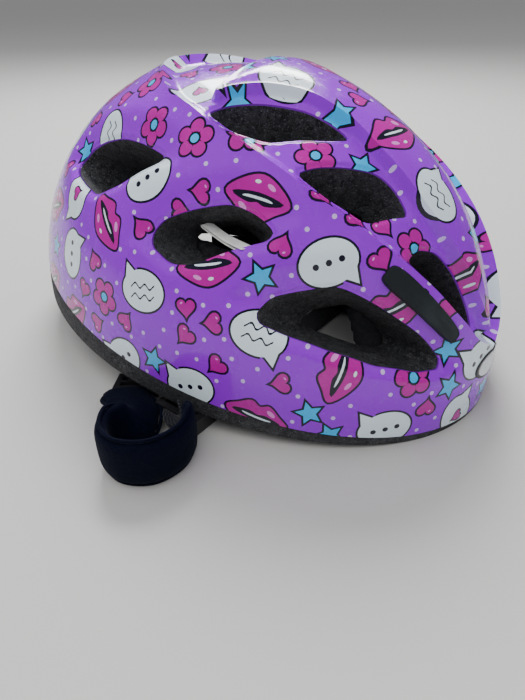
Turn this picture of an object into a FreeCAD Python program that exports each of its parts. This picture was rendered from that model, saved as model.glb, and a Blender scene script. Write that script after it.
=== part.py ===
"""A child's cycling helmet: in-moulded shell and foam liner, head ring with a dial, and its straps.

The helmet stands as it rests on a table: nose down on the front rim, with the nape cradle at the back.
+X is the wearer's front, +Y the wearer's left and +Z up; z = 0 is the table. The dome, its pads and its
anchors are drawn level in their own frame and tipped by rest_pitch. The rest is drawn where it lies.
"""
import FreeCAD, Part
import math
import os

V = FreeCAD.Vector
doc = FreeCAD.newDocument("cycling_helmet")
sheet = doc.addObject("Spreadsheet::Sheet", "sizes")

# millimetres and degrees
SIZES = {
    # the dome: an ellipsoid whose widest level is its own z = 0
    "dome_half_length": 137, "dome_half_width": 96, "dome_height": 127, "dome_centre_x": -3,
    "shell_wall": 0.8, "shell_edge_z": 10, "rest_pitch": 9, "rest_lift": 13,
    # the foam liner and the head space inside it
    "head_half_length": 103, "head_half_width": 75, "head_height": 104, "head_centre_x": 2,
    "liner_front_z": 7, "liner_rear_z": -8, "vent_corner": 4, "vent_reach": 40, "vent_rise": 15,
    "vent_taper": 0.015,
    # trim bonded to the shell, and pads bonded into the liner
    "insert_width": 10, "insert_length": 48, "insert_proud": 1.2, "badge_width": 26, "badge_height": 11,
    "badge_wall": 0.6, "pad_gap": 1.2, "pad_wall": 5, "patch_radius": 8,
    "anchor_radius": 9, "anchor_depth": 4, "anchor_boss": 4,
    # the ring round the head
    "ring_half_length": 98, "ring_half_width": 71, "ring_wall": 1.6, "ring_low": 9, "ring_high": 21,
    "ring_end_x": -20, "arm_end_x": -74, "ring_gap": 0.4, "pin_radius": 2.5, "pin_head": 4,
    # the nape cradle and its dial
    "dial_z": 16, "dial_radius": 13.5, "dial_wall": 7, "dial_face_x": -96, "dial_ribs": 14,
    "spindle_radius": 2.4, "spindle_gap": 0.05, "pinion_teeth": 10, "gear_module": 0.8,
    "rack_wall": 1.6, "rack_back": 3.4, "rack_length": 46, "rack_tail": 13, "rack_gap": 0.25,
    "cradle_half_width": 30, "cradle_high": 31, "cover_wall": 1.5,
    "screw_radius": 1.5, "screw_head": 2.6, "nape_wall": 5,
    # webbing, dividers and buckle
    "webbing_width": 15, "webbing_wall": 1.4, "table_gap": 0.4, "divider_length": 34,
    "divider_width": 25, "divider_wall": 4, "lever_length": 15, "lever_width": 10, "lever_wall": 2.2,
    "lever_pin": 1.1, "lever_pin_gap": 0.05, "buckle_width": 25, "buckle_high": 7.6, "socket_length": 30,
    "buckle_x": 30, "socket_y": -97, "keeper_wall": 1.6, "keeper_length": 5,
    "chin_wall": 7, "chin_high": 24, "chin_radius": 19, "chin_x": 38, "chin_y": -116,
}
for row, (name, value) in enumerate(SIZES.items(), start=1):
    sheet.set("A%d" % row, name)
    sheet.set("B%d" % row, str(value))
    sheet.setAlias("B%d" % row, name)
doc.recompute()


def size(name):
    """The sheet's value under that name."""
    return float(getattr(sheet, name))


nodes = []
ALONG_X = FreeCAD.Rotation(V(0, 0, 1), V(1, 0, 0))
TIPPED = FreeCAD.Placement(V(0, 0, size("rest_lift")), FreeCAD.Rotation(V(0, 1, 0), size("rest_pitch")))
BIG = 400.0


def bind(thing, **formulas):
    """Tie an object's properties to formulas of the sheet's values."""
    for name, formula in formulas.items():
        words = formula.replace("$", "sizes.")
        thing.setExpression(name.replace("__", "."), words)
    return thing


def node(thing, name, placement=None):
    """Name an object as a sub-part, and list it."""
    thing.Label = name
    if placement is not None:
        thing.Placement = placement
    nodes.append(thing)
    return thing


def made(name, shape):
    """A helper solid made by Part's own functions."""
    thing = doc.addObject("Part::Feature", name)
    thing.Shape = shape
    return thing


def box(name, low, high):
    """A helper box between two corners."""
    thing = doc.addObject("Part::Box", name)
    thing.Length = high[0] - low[0]
    thing.Width = high[1] - low[1]
    thing.Height = high[2] - low[2]
    thing.Placement = FreeCAD.Placement(V(*low), FreeCAD.Rotation())
    return thing


def cut(name, base, tool):
    """The base without the tool."""
    thing = doc.addObject("Part::Cut", name)
    thing.Base = base
    thing.Tool = tool
    return thing


def common(name, base, tool):
    """What the base and the tool share."""
    thing = doc.addObject("Part::Common", name)
    thing.Base = base
    thing.Tool = tool
    return thing


def fused(name, things):
    """Several objects as one."""
    thing = doc.addObject("Part::MultiFuse", name)
    thing.Shapes = things
    return thing


def mirrored(name, source):
    """An object's mirror image across the mid-plane."""
    thing = doc.addObject("Part::Mirroring", name)
    thing.Source = source
    thing.Normal = V(0, 1, 0)
    return thing


def ellipsoid(name, length, width, height, centre):
    """A full ellipsoid whose half axes and centre are formulas of the sheet's values."""
    thing = doc.addObject("Part::Ellipsoid", name)
    thing.Angle1 = -90
    thing.Angle2 = 90
    bind(thing, Radius2=length, Radius3=width, Radius1=height, Placement__Base__x=centre)
    return thing


# ---------------------------------------------------------------- the dome and its liner

def dome(name, inset):
    """The dome's ellipsoid, smaller all round by the inset."""
    return ellipsoid(name, "$dome_half_length - (%s)" % inset, "$dome_half_width - (%s)" % inset,
                     "$dome_height - (%s)" % inset, "$dome_centre_x")


def head(name, inset):
    """The head space's ellipsoid, smaller all round by the inset."""
    return ellipsoid(name, "$head_half_length - (%s)" % inset, "$head_half_width - (%s)" % inset,
                     "$head_height - (%s)" % inset, "$head_centre_x")


def rounded_face(points, radius):
    """A flat face on points that lie in one plane, with every corner rounded."""
    edges = []
    count = len(points)
    arcs = []
    for index, corner in enumerate(points):
        back = (points[index - 1] - corner)
        ahead = (points[(index + 1) % count] - corner)
        half = back.getAngle(ahead) / 2
        reach = min(radius / math.tan(half), 0.45 * back.Length, 0.45 * ahead.Length)
        back.normalize()
        ahead.normalize()
        middle = (back + ahead).normalize()
        true_radius = reach * math.tan(half)
        deep = true_radius / math.sin(half) - true_radius
        arcs.append((corner + back * reach, corner + middle * deep, corner + ahead * reach))
    for index, (start, middle, end) in enumerate(arcs):
        edges.append(Part.Arc(start, middle, end).toShape())
        edges.append(Part.LineSegment(end, arcs[(index + 1) % count][0]).toShape())
    return Part.Face(Part.Wire(edges))


def vent_tool(corners, outward):
    """A plug through the dome that narrows inwards. It meets the dome at the corners given."""
    way = V(*outward).normalize()
    middle = V(0, 0, 0)
    for corner in corners:
        middle += V(*corner) * (1.0 / len(corners))
    flat = []
    for corner in corners:
        offset = V(*corner) - middle
        depth = offset.dot(way)
        flat.append((offset - way * depth) * (1 / (1 + size("vent_taper") * depth)))
    ends = []
    for depth in (-size("vent_reach"), size("vent_rise")):
        share = 1 + size("vent_taper") * depth
        outline = [middle + way * depth + point * share for point in flat]
        ends.append(rounded_face(outline, size("vent_corner") * share).OuterWire)
    return Part.makeLoft(ends, True, True)


# corners on the dome's right side, then the way the vent opens
VENTS = {
    "side_rear": (
        ((-74, -58, 70), (-71, -55, 77), (-60, -55, 85), (-46, -56, 91), (-30, -58, 93), (-13, -61, 93),
         (-17, -65, 88), (-30, -71, 77), (-43, -73, 68), (-55, -69, 67), (-67, -64, 67)),
        (-0.2, -1, 0.9)),
    "side_middle": (
        ((-4, -78, 67), (-1, -75, 74), (10, -70, 81), (25, -63, 87), (37, -61, 86), (46, -61, 82),
         (45, -64, 79), (34, -71, 73), (21, -78, 63), (11, -81, 60), (-1, -80, 63)),
        (0.1, -1, 0.6)),
    "side_front": (
        ((51, -75, 54), (54, -71, 61), (64, -64, 66), (75, -56, 70), (83, -52, 68), (96, -43, 60),
         (108, -35, 52), (116, -30, 43), (116, -32, 39), (110, -41, 39), (96, -54, 42), (80, -64, 46),
         (65, -72, 49), (54, -76, 51)),
        (0.5, -1, 0.7)),
    "top_rear": (
        ((-9, -43, 110), (-3, -36, 114), (8, -29, 117), (27, -20, 118), (40, -18, 117), (49, -18, 112),
         (42, -26, 110), (33, -34, 109), (24, -42, 106), (8, -46, 107)),
        (0, -0.3, 1)),
    "top_middle": (
        ((40, -45, 100), (45, -38, 103), (53, -30, 104), (64, -20, 103), (73, -18, 99), (82, -20, 91),
         (76, -29, 90), (72, -38, 89), (56, -44, 96)),
        (0.3, -0.3, 1)),
    "top_front": (
        ((92, -33, 80), (92, -25, 83), (98, -16, 81), (106, -11, 73), (117, -7, 57), (120, -7, 49),
         (118, -14, 53), (109, -22, 65), (100, -29, 73)),
        (1, -0.3, 0.8)),
}
vent_tools = []
for vent_name, (vent_corners, vent_way) in VENTS.items():
    right_tool = made("vent_" + vent_name + "_right", vent_tool(vent_corners, vent_way))
    vent_tools.append(right_tool)
    vent_tools.append(mirrored("vent_" + vent_name + "_left", right_tool))

shell_skin = cut("shell_skin", dome("shell_outside", "0"), dome("shell_inside", "$shell_wall"))
shell_space = box("shell_space", (-BIG, -BIG, size("shell_edge_z")), (BIG, BIG, BIG))
bind(shell_space, Placement__Base__z="$shell_edge_z")
shell_open = common("shell_open", shell_skin, shell_space)
node(cut("shell_cut", shell_open, fused("shell_vents", vent_tools)), "outer_shell", TIPPED)


def liner_space():
    """Everything above the liner's sloping rim, with the rim's front laid flat on the table."""
    front = V(size("dome_half_length") + size("dome_centre_x"), 0, size("liner_front_z"))
    rear = V(size("dome_centre_x") - size("dome_half_length"), 0, size("liner_rear_z"))
    slope = (front - rear).normalize()
    low_front = front + slope * BIG
    low_rear = rear - slope * BIG
    outline = [low_front, low_rear, V(low_rear.x, 0, BIG), V(low_front.x, 0, BIG), low_front]
    wedge = Part.Face(Part.makePolygon([point - V(0, BIG, 0) for point in outline])).extrude(V(0, 2 * BIG, 0))
    table = Part.makeBox(2 * BIG, 2 * BIG, 2 * BIG, V(-BIG, -BIG, 0))
    table.Placement = TIPPED.inverse().multiply(table.Placement)
    return wedge.common(table)


ANCHORS = {"front": (50, 63, 28), "rear": (-60, 56, 30)}


def anchor(name, place, side):
    """A strap anchor: a disc sunk in the liner, with a boss that stands into the head space."""
    x, y, z = place
    disc = doc.addObject("Part::Cylinder", name + "_disc")
    bind(disc, Radius="$anchor_radius", Height="$anchor_depth")
    boss = doc.addObject("Part::Cylinder", name + "_boss")
    bind(boss, Radius="$anchor_boss", Height="$anchor_depth + 2")
    outward = FreeCAD.Rotation(V(0, 0, 1), V(0, side, 0))
    disc.Placement = FreeCAD.Placement(V(x, side * (y + 1), z), outward)
    boss.Placement = FreeCAD.Placement(V(x, side * (y - 1), z), outward)
    return fused(name, [disc, boss])


SIDES = {"left": 1, "right": -1}
anchor_seats = []
for where, place in ANCHORS.items():
    for side_name, side in SIDES.items():
        anchor_seats.append(anchor("seat_%s_%s" % (where, side_name), place, side))
        thing = anchor("anchor_%s_%s" % (where, side_name), place, side)
        node(thing, "strap_anchor_%s_%s" % (where, side_name), TIPPED)

foam_block = cut("foam_block", dome("foam_outside", "$shell_wall"), head("foam_inside", "0"))
foam_trimmed = common("foam_trimmed", foam_block, made("liner_space", liner_space()))
foam_vented = cut("foam_vented", foam_trimmed, fused("liner_vents", vent_tools))
node(cut("foam_cut", foam_vented, fused("anchor_seats", anchor_seats)), "eps_liner", TIPPED)


# ---------------------------------------------------------------- trim on the shell

def dome_point(x, y):
    """The point on the top of the dome over x and y."""
    along = (x - size("dome_centre_x")) / size("dome_half_length")
    across = y / size("dome_half_width")
    return V(x, y, size("dome_height") * math.sqrt(1 - along ** 2 - across ** 2))


def dome_way(point):
    """The dome's outward direction at a point on it."""
    way = V((point.x - size("dome_centre_x")) / size("dome_half_length") ** 2,
            point.y / size("dome_half_width") ** 2, point.z / size("dome_height") ** 2)
    return way.normalize()


def skin_layer(name, low, high):
    """A layer that follows the dome between two distances outside it."""
    return cut(name, dome(name + "_outside", "(%s) * -1" % high), dome(name + "_inside", "(%s) * -1" % low))


def insert_prism():
    """The insert's outline: a bar with round ends, wider at its rear end, through the dome."""
    rear = dome_point(90, -41.5)
    front = dome_point(114.5, -27)
    way = dome_way((rear + front) * 0.5)
    along = (front - rear) - way * (front - rear).dot(way)
    along.normalize()
    across = way.cross(along)
    middle = (rear + front) * 0.5
    half = size("insert_length") / 2
    wide = size("insert_width") / 2
    corners = []
    for end, side, share in ((-1, -1, 1), (1, -1, 0.7), (1, 1, 0.7), (-1, 1, 1)):
        corners.append(middle + along * end * half + across * side * wide * share - way * 15)
    return rounded_face(corners, wide * 0.6).extrude(way * 30)


insert_layer = skin_layer("insert_layer", "0", "$insert_proud")
insert_right = common("insert_right", insert_layer, made("insert_outline", insert_prism()))
node(insert_right, "front_insert_right", TIPPED)
insert_copy = common("insert_copy", insert_layer, made("insert_outline_again", insert_prism()))
node(mirrored("insert_left", insert_copy), "front_insert_left", TIPPED)

badge_block = doc.addObject("Part::Prism", "badge_block")
badge_block.Polygon = 40
bind(badge_block, Circumradius="$badge_width / 2", Height="60")
badge_block.Placement = FreeCAD.Placement(V(100, 0, 33), ALONG_X)
badge_band = box("badge_band", (90, -BIG / 4, 33 - size("badge_height") / 2),
                 (170, BIG / 4, 33 + size("badge_height") / 2))
badge_oval = common("badge_oval", badge_block, badge_band)
node(common("badge", skin_layer("badge_layer", "0", "$badge_wall"), badge_oval), "front_badge", TIPPED)


# ---------------------------------------------------------------- pads in the liner

PADS = {
    "pad_front": ((66, -36, 27), (120, 36, 50)),
    "pad_crown": ((-42, -11, 60), (46, 11, 120)),
    "pad_rear": ((-120, -30, 30), (-50, 30, 52)),
    "pad_side_left": ((-34, 45, 44), (26, 90, 62)),
    "pad_side_right": ((-34, -90, 44), (26, -45, 62)),
}


def head_layer(name, near, deep):
    """A layer that follows the head space between two distances inside it."""
    return cut(name, head(name + "_outside", near), head(name + "_inside", deep))


for pad_name, (low, high) in PADS.items():
    layer = head_layer(pad_name + "_layer", "$pad_gap", "$pad_gap + $pad_wall")
    node(common(pad_name + "_body", layer, box(pad_name + "_space", low, high)), pad_name, TIPPED)


def head_wall(direction):
    """Where a ray from the head space's centre meets the liner."""
    ray = V(*direction).normalize()
    axes = (size("head_half_length"), size("head_half_width"), size("head_height"))
    reach = 1 / math.sqrt(sum((part / axis) ** 2 for part, axis in zip((ray.x, ray.y, ray.z), axes)))
    return V(size("head_centre_x"), 0, 0) + ray * reach


def patch_tool():
    """Short round posts that stand on the liner's wall where the hook patches are glued."""
    posts = []
    for direction in ((1, 0.18, 0.42), (1, -0.18, 0.42), (0.28, 0, 1), (-0.26, 0, 1),
                      (-1, 0.1, 0.5), (-1, -0.1, 0.5), (-0.05, 1, 0.95), (-0.05, -1, 0.95)):
        spot = head_wall(direction)
        way = V(*direction).normalize()
        posts.append(Part.makeCylinder(size("patch_radius"), 20, spot - way * 10, way))
    return Part.makeCompound(posts)


patch_layer = head_layer("patch_layer", "0", "$pad_gap")
node(common("patches", patch_layer, made("patch_posts", patch_tool())), "hook_patches", TIPPED)


# ---------------------------------------------------------------- the ring round the head

def oval_wall(half_length, half_width, wall, low, high):
    """An upright oval band."""
    rings = []
    for inset in (0, wall):
        oval = Part.Ellipse(V(size("head_centre_x"), 0, low), half_length - inset, half_width - inset)
        rings.append(Part.Face(Part.Wire(oval.toShape())).extrude(V(0, 0, high - low)))
    return rings[0].cut(rings[1])


def ring_stretch(rear_x, front_x, low_y, high_y):
    """The ring between two levels of x, on one side or both."""
    band = oval_wall(size("ring_half_length"), size("ring_half_width"), size("ring_wall"),
                     size("ring_low"), size("ring_high"))
    return band.common(Part.makeBox(front_x - rear_x, high_y - low_y, BIG, V(rear_x, low_y, 0)))


ring_front = made("ring_front", ring_stretch(size("ring_end_x"), BIG, -BIG, BIG))
ring_holes = doc.addObject("Part::MultiFuse", "ring_holes")
pin_spots = []
for angle in (-52, 0, 52):
    turn = math.radians(angle)
    spot = V(size("head_centre_x") + size("ring_half_length") * math.cos(turn),
             size("ring_half_width") * math.sin(turn), (size("ring_low") + size("ring_high")) / 2)
    way = V(math.cos(turn) / size("ring_half_length"), math.sin(turn) / size("ring_half_width"), 0)
    way.normalize()
    pin_spots.append((spot, way))
hole_things = []
pin_shapes = []
for spot, way in pin_spots:
    inner = spot - way * (size("ring_wall") + 1)
    hole = Part.makeCylinder(size("pin_radius") + 0.05, 6, inner - way * 2, way)
    hole_things.append(made("ring_hole", hole))
    stem = Part.makeCylinder(size("pin_radius"), size("ring_wall") + 3, inner - way * 0.5, way)
    cap = Part.makeCylinder(size("pin_head"), 1.2, inner - way * 0.4, way * -1)
    pin_shapes.append(stem.fuse(cap))
ring_holes.Shapes = hole_things
node(cut("ring_band_cut", ring_front, ring_holes), "ring_band")
node(made("ring_pins_made", Part.makeCompound(pin_shapes)), "ring_pins")
arm_front = size("ring_end_x") - size("ring_gap")
for side_name, low_y, high_y in (("left", 0, BIG), ("right", -BIG, 0)):
    arm = made("ring_arm_" + side_name + "_made", ring_stretch(size("arm_end_x"), arm_front, low_y, high_y))
    node(arm, "ring_arm_" + side_name)

# ---------------------------------------------------------------- the nape cradle, its racks and its dial

PITCH_RADIUS = size("gear_module") * size("pinion_teeth") / 2
TOOTH_STEP = math.pi * size("gear_module")
DIAL_BACK = size("dial_face_x") + size("dial_wall")
RACK_X = DIAL_BACK + 2.2
TOOTH_HEIGHT = 1.25
TOOTH_SHARE = 0.36


def tooth(base_width, tip_width, low, high, depth):
    """A tapering tooth that points along +Z, centred on y = 0 and running along +X."""
    outline = [V(0, -base_width / 2, low), V(0, base_width / 2, low), V(0, tip_width / 2, high),
               V(0, -tip_width / 2, high), V(0, -base_width / 2, low)]
    return Part.Face(Part.makePolygon(outline)).extrude(V(depth, 0, 0))


def pinion_shape():
    """The pinion on its spindle, along +X from the dial's back."""
    depth = size("rack_wall")
    root = PITCH_RADIUS - TOOTH_HEIGHT / 2
    wheel = Part.makeCylinder(root, depth, V(RACK_X, 0, size("dial_z")), V(1, 0, 0))
    for index in range(int(size("pinion_teeth"))):
        one = tooth(TOOTH_STEP * TOOTH_SHARE, TOOTH_STEP * 0.2, root - 0.6, root + TOOTH_HEIGHT, depth)
        one.rotate(V(0, 0, 0), V(1, 0, 0), 360.0 * index / size("pinion_teeth"))
        one.translate(V(RACK_X, 0, size("dial_z")))
        wheel = wheel.fuse(one)
    radius = size("spindle_radius")
    front = Part.makeCylinder(radius, RACK_X - DIAL_BACK, V(DIAL_BACK, 0, size("dial_z")), V(1, 0, 0))
    rear = Part.makeCylinder(radius, 1.6, V(RACK_X + depth, 0, size("dial_z")), V(1, 0, 0))
    return wheel.fuse([front, rear]).removeSplitter()


def rack_shape(side):
    """A straight rack along Y: the left one runs over the pinion, the right one under it."""
    depth = size("rack_wall")
    pitch_gap = PITCH_RADIUS + TOOTH_HEIGHT / 2 + 0.1
    bar_low = pitch_gap
    bar = Part.makeBox(depth, size("rack_length"), size("rack_back"), V(0, -size("rack_tail"), bar_low))
    count = int((size("rack_tail") + 6) / TOOTH_STEP)
    for index in range(-count - 1, count + 2):
        middle = (index + 0.5) * TOOTH_STEP
        if middle < -size("rack_tail") + 1:
            continue
        one = tooth(TOOTH_STEP * TOOTH_SHARE, TOOTH_STEP * 0.2, 0, TOOTH_HEIGHT + 0.3, depth)
        one.rotate(V(0, 0, 0), V(1, 0, 0), 180)
        one.translate(V(0, middle, bar_low + 0.3))
        bar = bar.fuse(one)
    bar = bar.removeSplitter()
    if side < 0:
        bar.rotate(V(depth / 2, 0, 0), V(1, 0, 0), 180)
    bar.translate(V(RACK_X, 0, size("dial_z")))
    return bar


node(made("pinion_made", pinion_shape()), "dial_pinion")
node(made("rack_left_made", rack_shape(1)), "rack_left")
node(made("rack_right_made", rack_shape(-1)), "rack_right")


def knob_body():
    """The dial: a round knob with scallops round its edge."""
    body = doc.addObject("PartDesign::Body", "dial_knob_body")
    plane = [item for item in body.Origin.OriginFeatures if item.Role == "YZ_Plane"][0]
    disc = body.newObject("Sketcher::SketchObject", "knob_outline")
    disc.AttachmentSupport = (plane, [""])
    disc.MapMode = "FlatFace"
    disc.addGeometry(Part.Circle(V(0, 0, 0), V(0, 0, 1), size("dial_radius")), False)
    disc.addGeometry(Part.Circle(V(0, 0, 0), V(0, 0, 1), size("screw_radius") + 0.05), False)
    pad = body.newObject("PartDesign::Pad", "knob_pad")
    pad.Profile = disc
    bind(pad, Length="$dial_wall")
    doc.recompute()
    notch = body.newObject("Sketcher::SketchObject", "knob_notch")
    notch.AttachmentSupport = (plane, [""])
    notch.MapMode = "FlatFace"
    notch.addGeometry(Part.Circle(V(size("dial_radius") + 0.9, 0, 0), V(0, 0, 1), 2.1), False)
    scallop = body.newObject("PartDesign::Pocket", "knob_scallop")
    scallop.Profile = notch
    scallop.Type = "ThroughAll"
    scallop.Midplane = True
    doc.recompute()
    ribs = body.newObject("PartDesign::PolarPattern", "knob_ribs")
    ribs.Originals = [scallop]
    ribs.Axis = (disc, ["N_Axis"])
    ribs.Angle = 360
    ribs.Occurrences = int(size("dial_ribs"))
    body.Tip = ribs
    doc.recompute()
    body.Placement = FreeCAD.Placement(V(size("dial_face_x"), 0, size("dial_z")), FreeCAD.Rotation())
    return body


node(knob_body(), "dial_knob")

dial_screw = doc.addObject("Part::Cylinder", "dial_screw_stem")
bind(dial_screw, Radius="$screw_radius", Height="$dial_wall")
dial_screw.Placement = FreeCAD.Placement(V(size("dial_face_x"), 0, size("dial_z")), ALONG_X)
dial_screw_cap = doc.addObject("Part::Cylinder", "dial_screw_cap")
bind(dial_screw_cap, Radius="$screw_head", Height="1.2")
dial_screw_cap.Placement = FreeCAD.Placement(V(size("dial_face_x") - 1.2, 0, size("dial_z")), ALONG_X)
node(fused("dial_screw_made", [dial_screw, dial_screw_cap]), "dial_screw")


def plate(name, x_low, x_high, half_width, low, high, corner):
    """An upright plate across the back, with its corners rounded."""
    corners = [V(x_low, -half_width, low), V(x_low, half_width, low), V(x_low, half_width, high),
               V(x_low, -half_width, high)]
    return made(name, rounded_face(corners, corner).extrude(V(x_high - x_low, 0, 0)))


HOUSING_X = DIAL_BACK + 0.4
CHANNEL_Z = PITCH_RADIUS + TOOTH_HEIGHT / 2 + size("rack_back") + size("rack_gap") + 0.1
housing_plate = plate("housing_plate", HOUSING_X, RACK_X + size("rack_wall") + 0.3, size("cradle_half_width"),
                      0, size("cradle_high"), 8)
channel = box("rack_channel", (RACK_X - 0.2, -BIG / 4, size("dial_z") - CHANNEL_Z),
              (RACK_X + size("rack_wall") + 5, BIG / 4, size("dial_z") + CHANNEL_Z))
housing_hole = doc.addObject("Part::Cylinder", "housing_hole")
bind(housing_hole, Radius="$spindle_radius + $spindle_gap", Height="10")
housing_hole.Placement = FreeCAD.Placement(V(HOUSING_X - 2, 0, size("dial_z")), ALONG_X)
SCREW_SPOTS = [(y, z) for y in (-22, 22) for z in (3.4, size("cradle_high") - 3.4)]


def screw_stems(radius, x_low, x_high):
    """Short rods along X at the cradle's four screw places."""
    rods = [Part.makeCylinder(radius, x_high - x_low, V(x_low, y, z), V(1, 0, 0)) for y, z in SCREW_SPOTS]
    return Part.makeCompound(rods)


COVER_X = RACK_X + size("rack_wall") + 0.3
COVER_END = COVER_X + size("cover_wall")
screw_bores = made("screw_bores", screw_stems(size("screw_radius"), HOUSING_X + 1, COVER_END + 2))
housing_tools = fused("housing_tools", [channel, housing_hole, screw_bores])
node(cut("housing_cut", housing_plate, housing_tools), "cradle_housing")

cover_plate = plate("cover_plate", COVER_X, COVER_END, size("cradle_half_width"), 0, size("cradle_high"), 8)
cover_hole = doc.addObject("Part::Cylinder", "cover_hole")
bind(cover_hole, Radius="$spindle_radius + $spindle_gap", Height="10")
cover_hole.Placement = FreeCAD.Placement(V(COVER_X - 2, 0, size("dial_z")), ALONG_X)
cover_bores = made("cover_bores", screw_stems(size("screw_radius"), HOUSING_X, COVER_END + 2))
node(cut("cover_cut", cover_plate, fused("cover_tools", [cover_hole, cover_bores])), "cradle_cover")

screws = []
stem_length = COVER_END - HOUSING_X - 1
for y, z in SCREW_SPOTS:
    stem = Part.makeCylinder(size("screw_radius"), stem_length, V(HOUSING_X + 1, y, z), V(1, 0, 0))
    cap = Part.makeCylinder(size("screw_head"), 1.1, V(COVER_END, y, z), V(1, 0, 0))
    screws.append(stem.fuse(cap))
node(made("cradle_screws_made", Part.makeCompound(screws)), "cradle_screws")

nape_block = plate("nape_block", COVER_END + 1.6, COVER_END + 1.6 + size("nape_wall"), 17, 3, 29, 7)
node(nape_block, "nape_pad")


def detent_shape():
    """The click spring: a flat leaf that lies on the housing behind the knob."""
    leaf_wall = 0.25
    return Part.makeBox(leaf_wall, 4, 20, V(HOUSING_X - leaf_wall, 6, size("dial_z") - 10))


node(made("detent_made", detent_shape()), "detent_spring")


# ---------------------------------------------------------------- webbing

def ribbon(name, start, end, wide_way):
    """A straight length of webbing between two points, its width along wide_way."""
    along = V(*end) - V(*start)
    length = along.Length
    along.normalize()
    across = V(*wide_way)
    across = (across - along * across.dot(along)).normalize()
    face = along.cross(across)
    thing = doc.addObject("Part::Box", name + "_box")
    thing.Length = length
    bind(thing, Width="$webbing_width", Height="$webbing_wall")
    turn = FreeCAD.Rotation(FreeCAD.Matrix(along.x, across.x, face.x, 0, along.y, across.y, face.y, 0,
                                           along.z, across.z, face.z, 0, 0, 0, 0, 1))
    corner = V(*start) - across * size("webbing_width") / 2 - face * size("webbing_wall") / 2
    thing.Placement = FreeCAD.Placement(corner, turn)
    return thing


STRAP_TOP = {"front": (53, 55.2, 34), "rear": (-54, 51, 51)}
DIVIDER_AT = {"left": (30, 46), "right": (-22, -48)}
DIVIDER_LOW = 3.4
for side_name, side in SIDES.items():
    spot = DIVIDER_AT[side_name]
    for where, step in (("front", 1), ("rear", -1)):
        top = STRAP_TOP[where]
        low = (spot[0] + step * (size("divider_length") / 2 - 4), spot[1] + side * 2,
               DIVIDER_LOW + size("divider_wall") + 6.8)
        strap_name = "strap_%s_%s" % (where, side_name)
        strap = ribbon(strap_name, (top[0], side * top[1], top[2]), low, (1, 0, 0.4 * step))
        node(strap, strap_name)


def divider_shape(middle):
    """A divider plate with three webbing slots and two ears for its lever."""
    x, y = middle
    length = size("divider_length")
    width = size("divider_width")
    low = DIVIDER_LOW
    corners = [V(x - length / 2, y - width / 2, low), V(x + length / 2, y - width / 2, low),
               V(x + length / 2, y + width / 2, low), V(x - length / 2, y + width / 2, low)]
    slab = rounded_face(corners, 6).extrude(V(0, 0, size("divider_wall")))
    for slot_x in (x - length / 2 + 3, x + length / 2 - 6):
        slab = slab.cut(Part.makeBox(3, 16, 20, V(slot_x, y - 8, -5)))
    slab = slab.cut(Part.makeBox(16, 3, 20, V(x - 8, y - width / 2 + 3, -5)))
    pin_z = low + size("divider_wall") + 2
    for ear_x in (x - size("lever_width") / 2 - 2.2, x + size("lever_width") / 2 + 0.2):
        ear = Part.makeBox(2, 5, 4, V(ear_x, y + width / 2 - 6, low + size("divider_wall")))
        slab = slab.fuse(ear)
    bore = Part.makeCylinder(size("lever_pin"), 40, V(x - 20, y + width / 2 - 3.5, pin_z), V(1, 0, 0))
    return slab.cut(bore)


def lever_parts(middle):
    """The cam lever, closed flat over the plate, and the pin that it turns on."""
    x, y = middle
    pin_y = y + size("divider_width") / 2 - 3.5
    pin_z = DIVIDER_LOW + size("divider_wall") + 2
    wide = size("lever_width") - 0.4
    eye = Part.makeCylinder(1.9, wide, V(x - wide / 2, pin_y, pin_z), V(1, 0, 0))
    arm = Part.makeBox(wide, size("lever_length"), size("lever_wall"),
                       V(x - wide / 2, pin_y - size("lever_length"), pin_z - 0.3))
    bore_radius = size("lever_pin") + size("lever_pin_gap")
    bore = Part.makeCylinder(bore_radius, 60, V(x - 30, pin_y, pin_z), V(1, 0, 0))
    lever = eye.fuse(arm).cut(bore)
    reach = size("lever_width") + 4.4
    pin = Part.makeCylinder(size("lever_pin"), reach, V(x - reach / 2, pin_y, pin_z), V(1, 0, 0))
    return lever, pin


lever_pins = []
for side_name, side in SIDES.items():
    spot = DIVIDER_AT[side_name]
    node(made("divider_%s_made" % side_name, divider_shape(spot)), "divider_" + side_name)
    lever, pin = lever_parts(spot)
    node(made("lever_%s_made" % side_name, lever), "divider_lever_" + side_name)
    lever_pins.append(pin)
node(made("lever_pins_made", Part.makeCompound(lever_pins)), "lever_pins")

STRAP_Z = size("table_gap") + size("webbing_wall") / 2
BUCKLE_X = size("buckle_x")
SOCKET_END = size("socket_y") + size("socket_length")
TONGUE_END = SOCKET_END + 0.3 + 8
chin_left = ribbon("chin_left", (BUCKLE_X, TONGUE_END + 0.4, STRAP_Z), (BUCKLE_X, 58, STRAP_Z), (1, 0, 0))
node(chin_left, "chin_strap_left")
SLIDER_AT = V(-4, -89, 0)
chin_right = ribbon("chin_right", (-20, -58, STRAP_Z), (-5.5, -80.5, STRAP_Z), (1, 0.6, 0))
node(chin_right, "chin_strap_right")


def slider_shape():
    """The ladder slider where the strap enters the chin pad: a frame with three ridged bars."""
    frame = Part.makeBox(22, 12, 4.4, V(-11, -6, 0.5))
    for bar_y in (-3.6, 0.8):
        frame = frame.cut(Part.makeBox(16.5, 2.8, 10, V(-8.25, bar_y, -2)))
    frame.rotate(V(0, 0, 0), V(0, 0, 1), 33)
    frame.translate(SLIDER_AT)
    return frame


node(made("slider_made", slider_shape()), "strap_slider")


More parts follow.
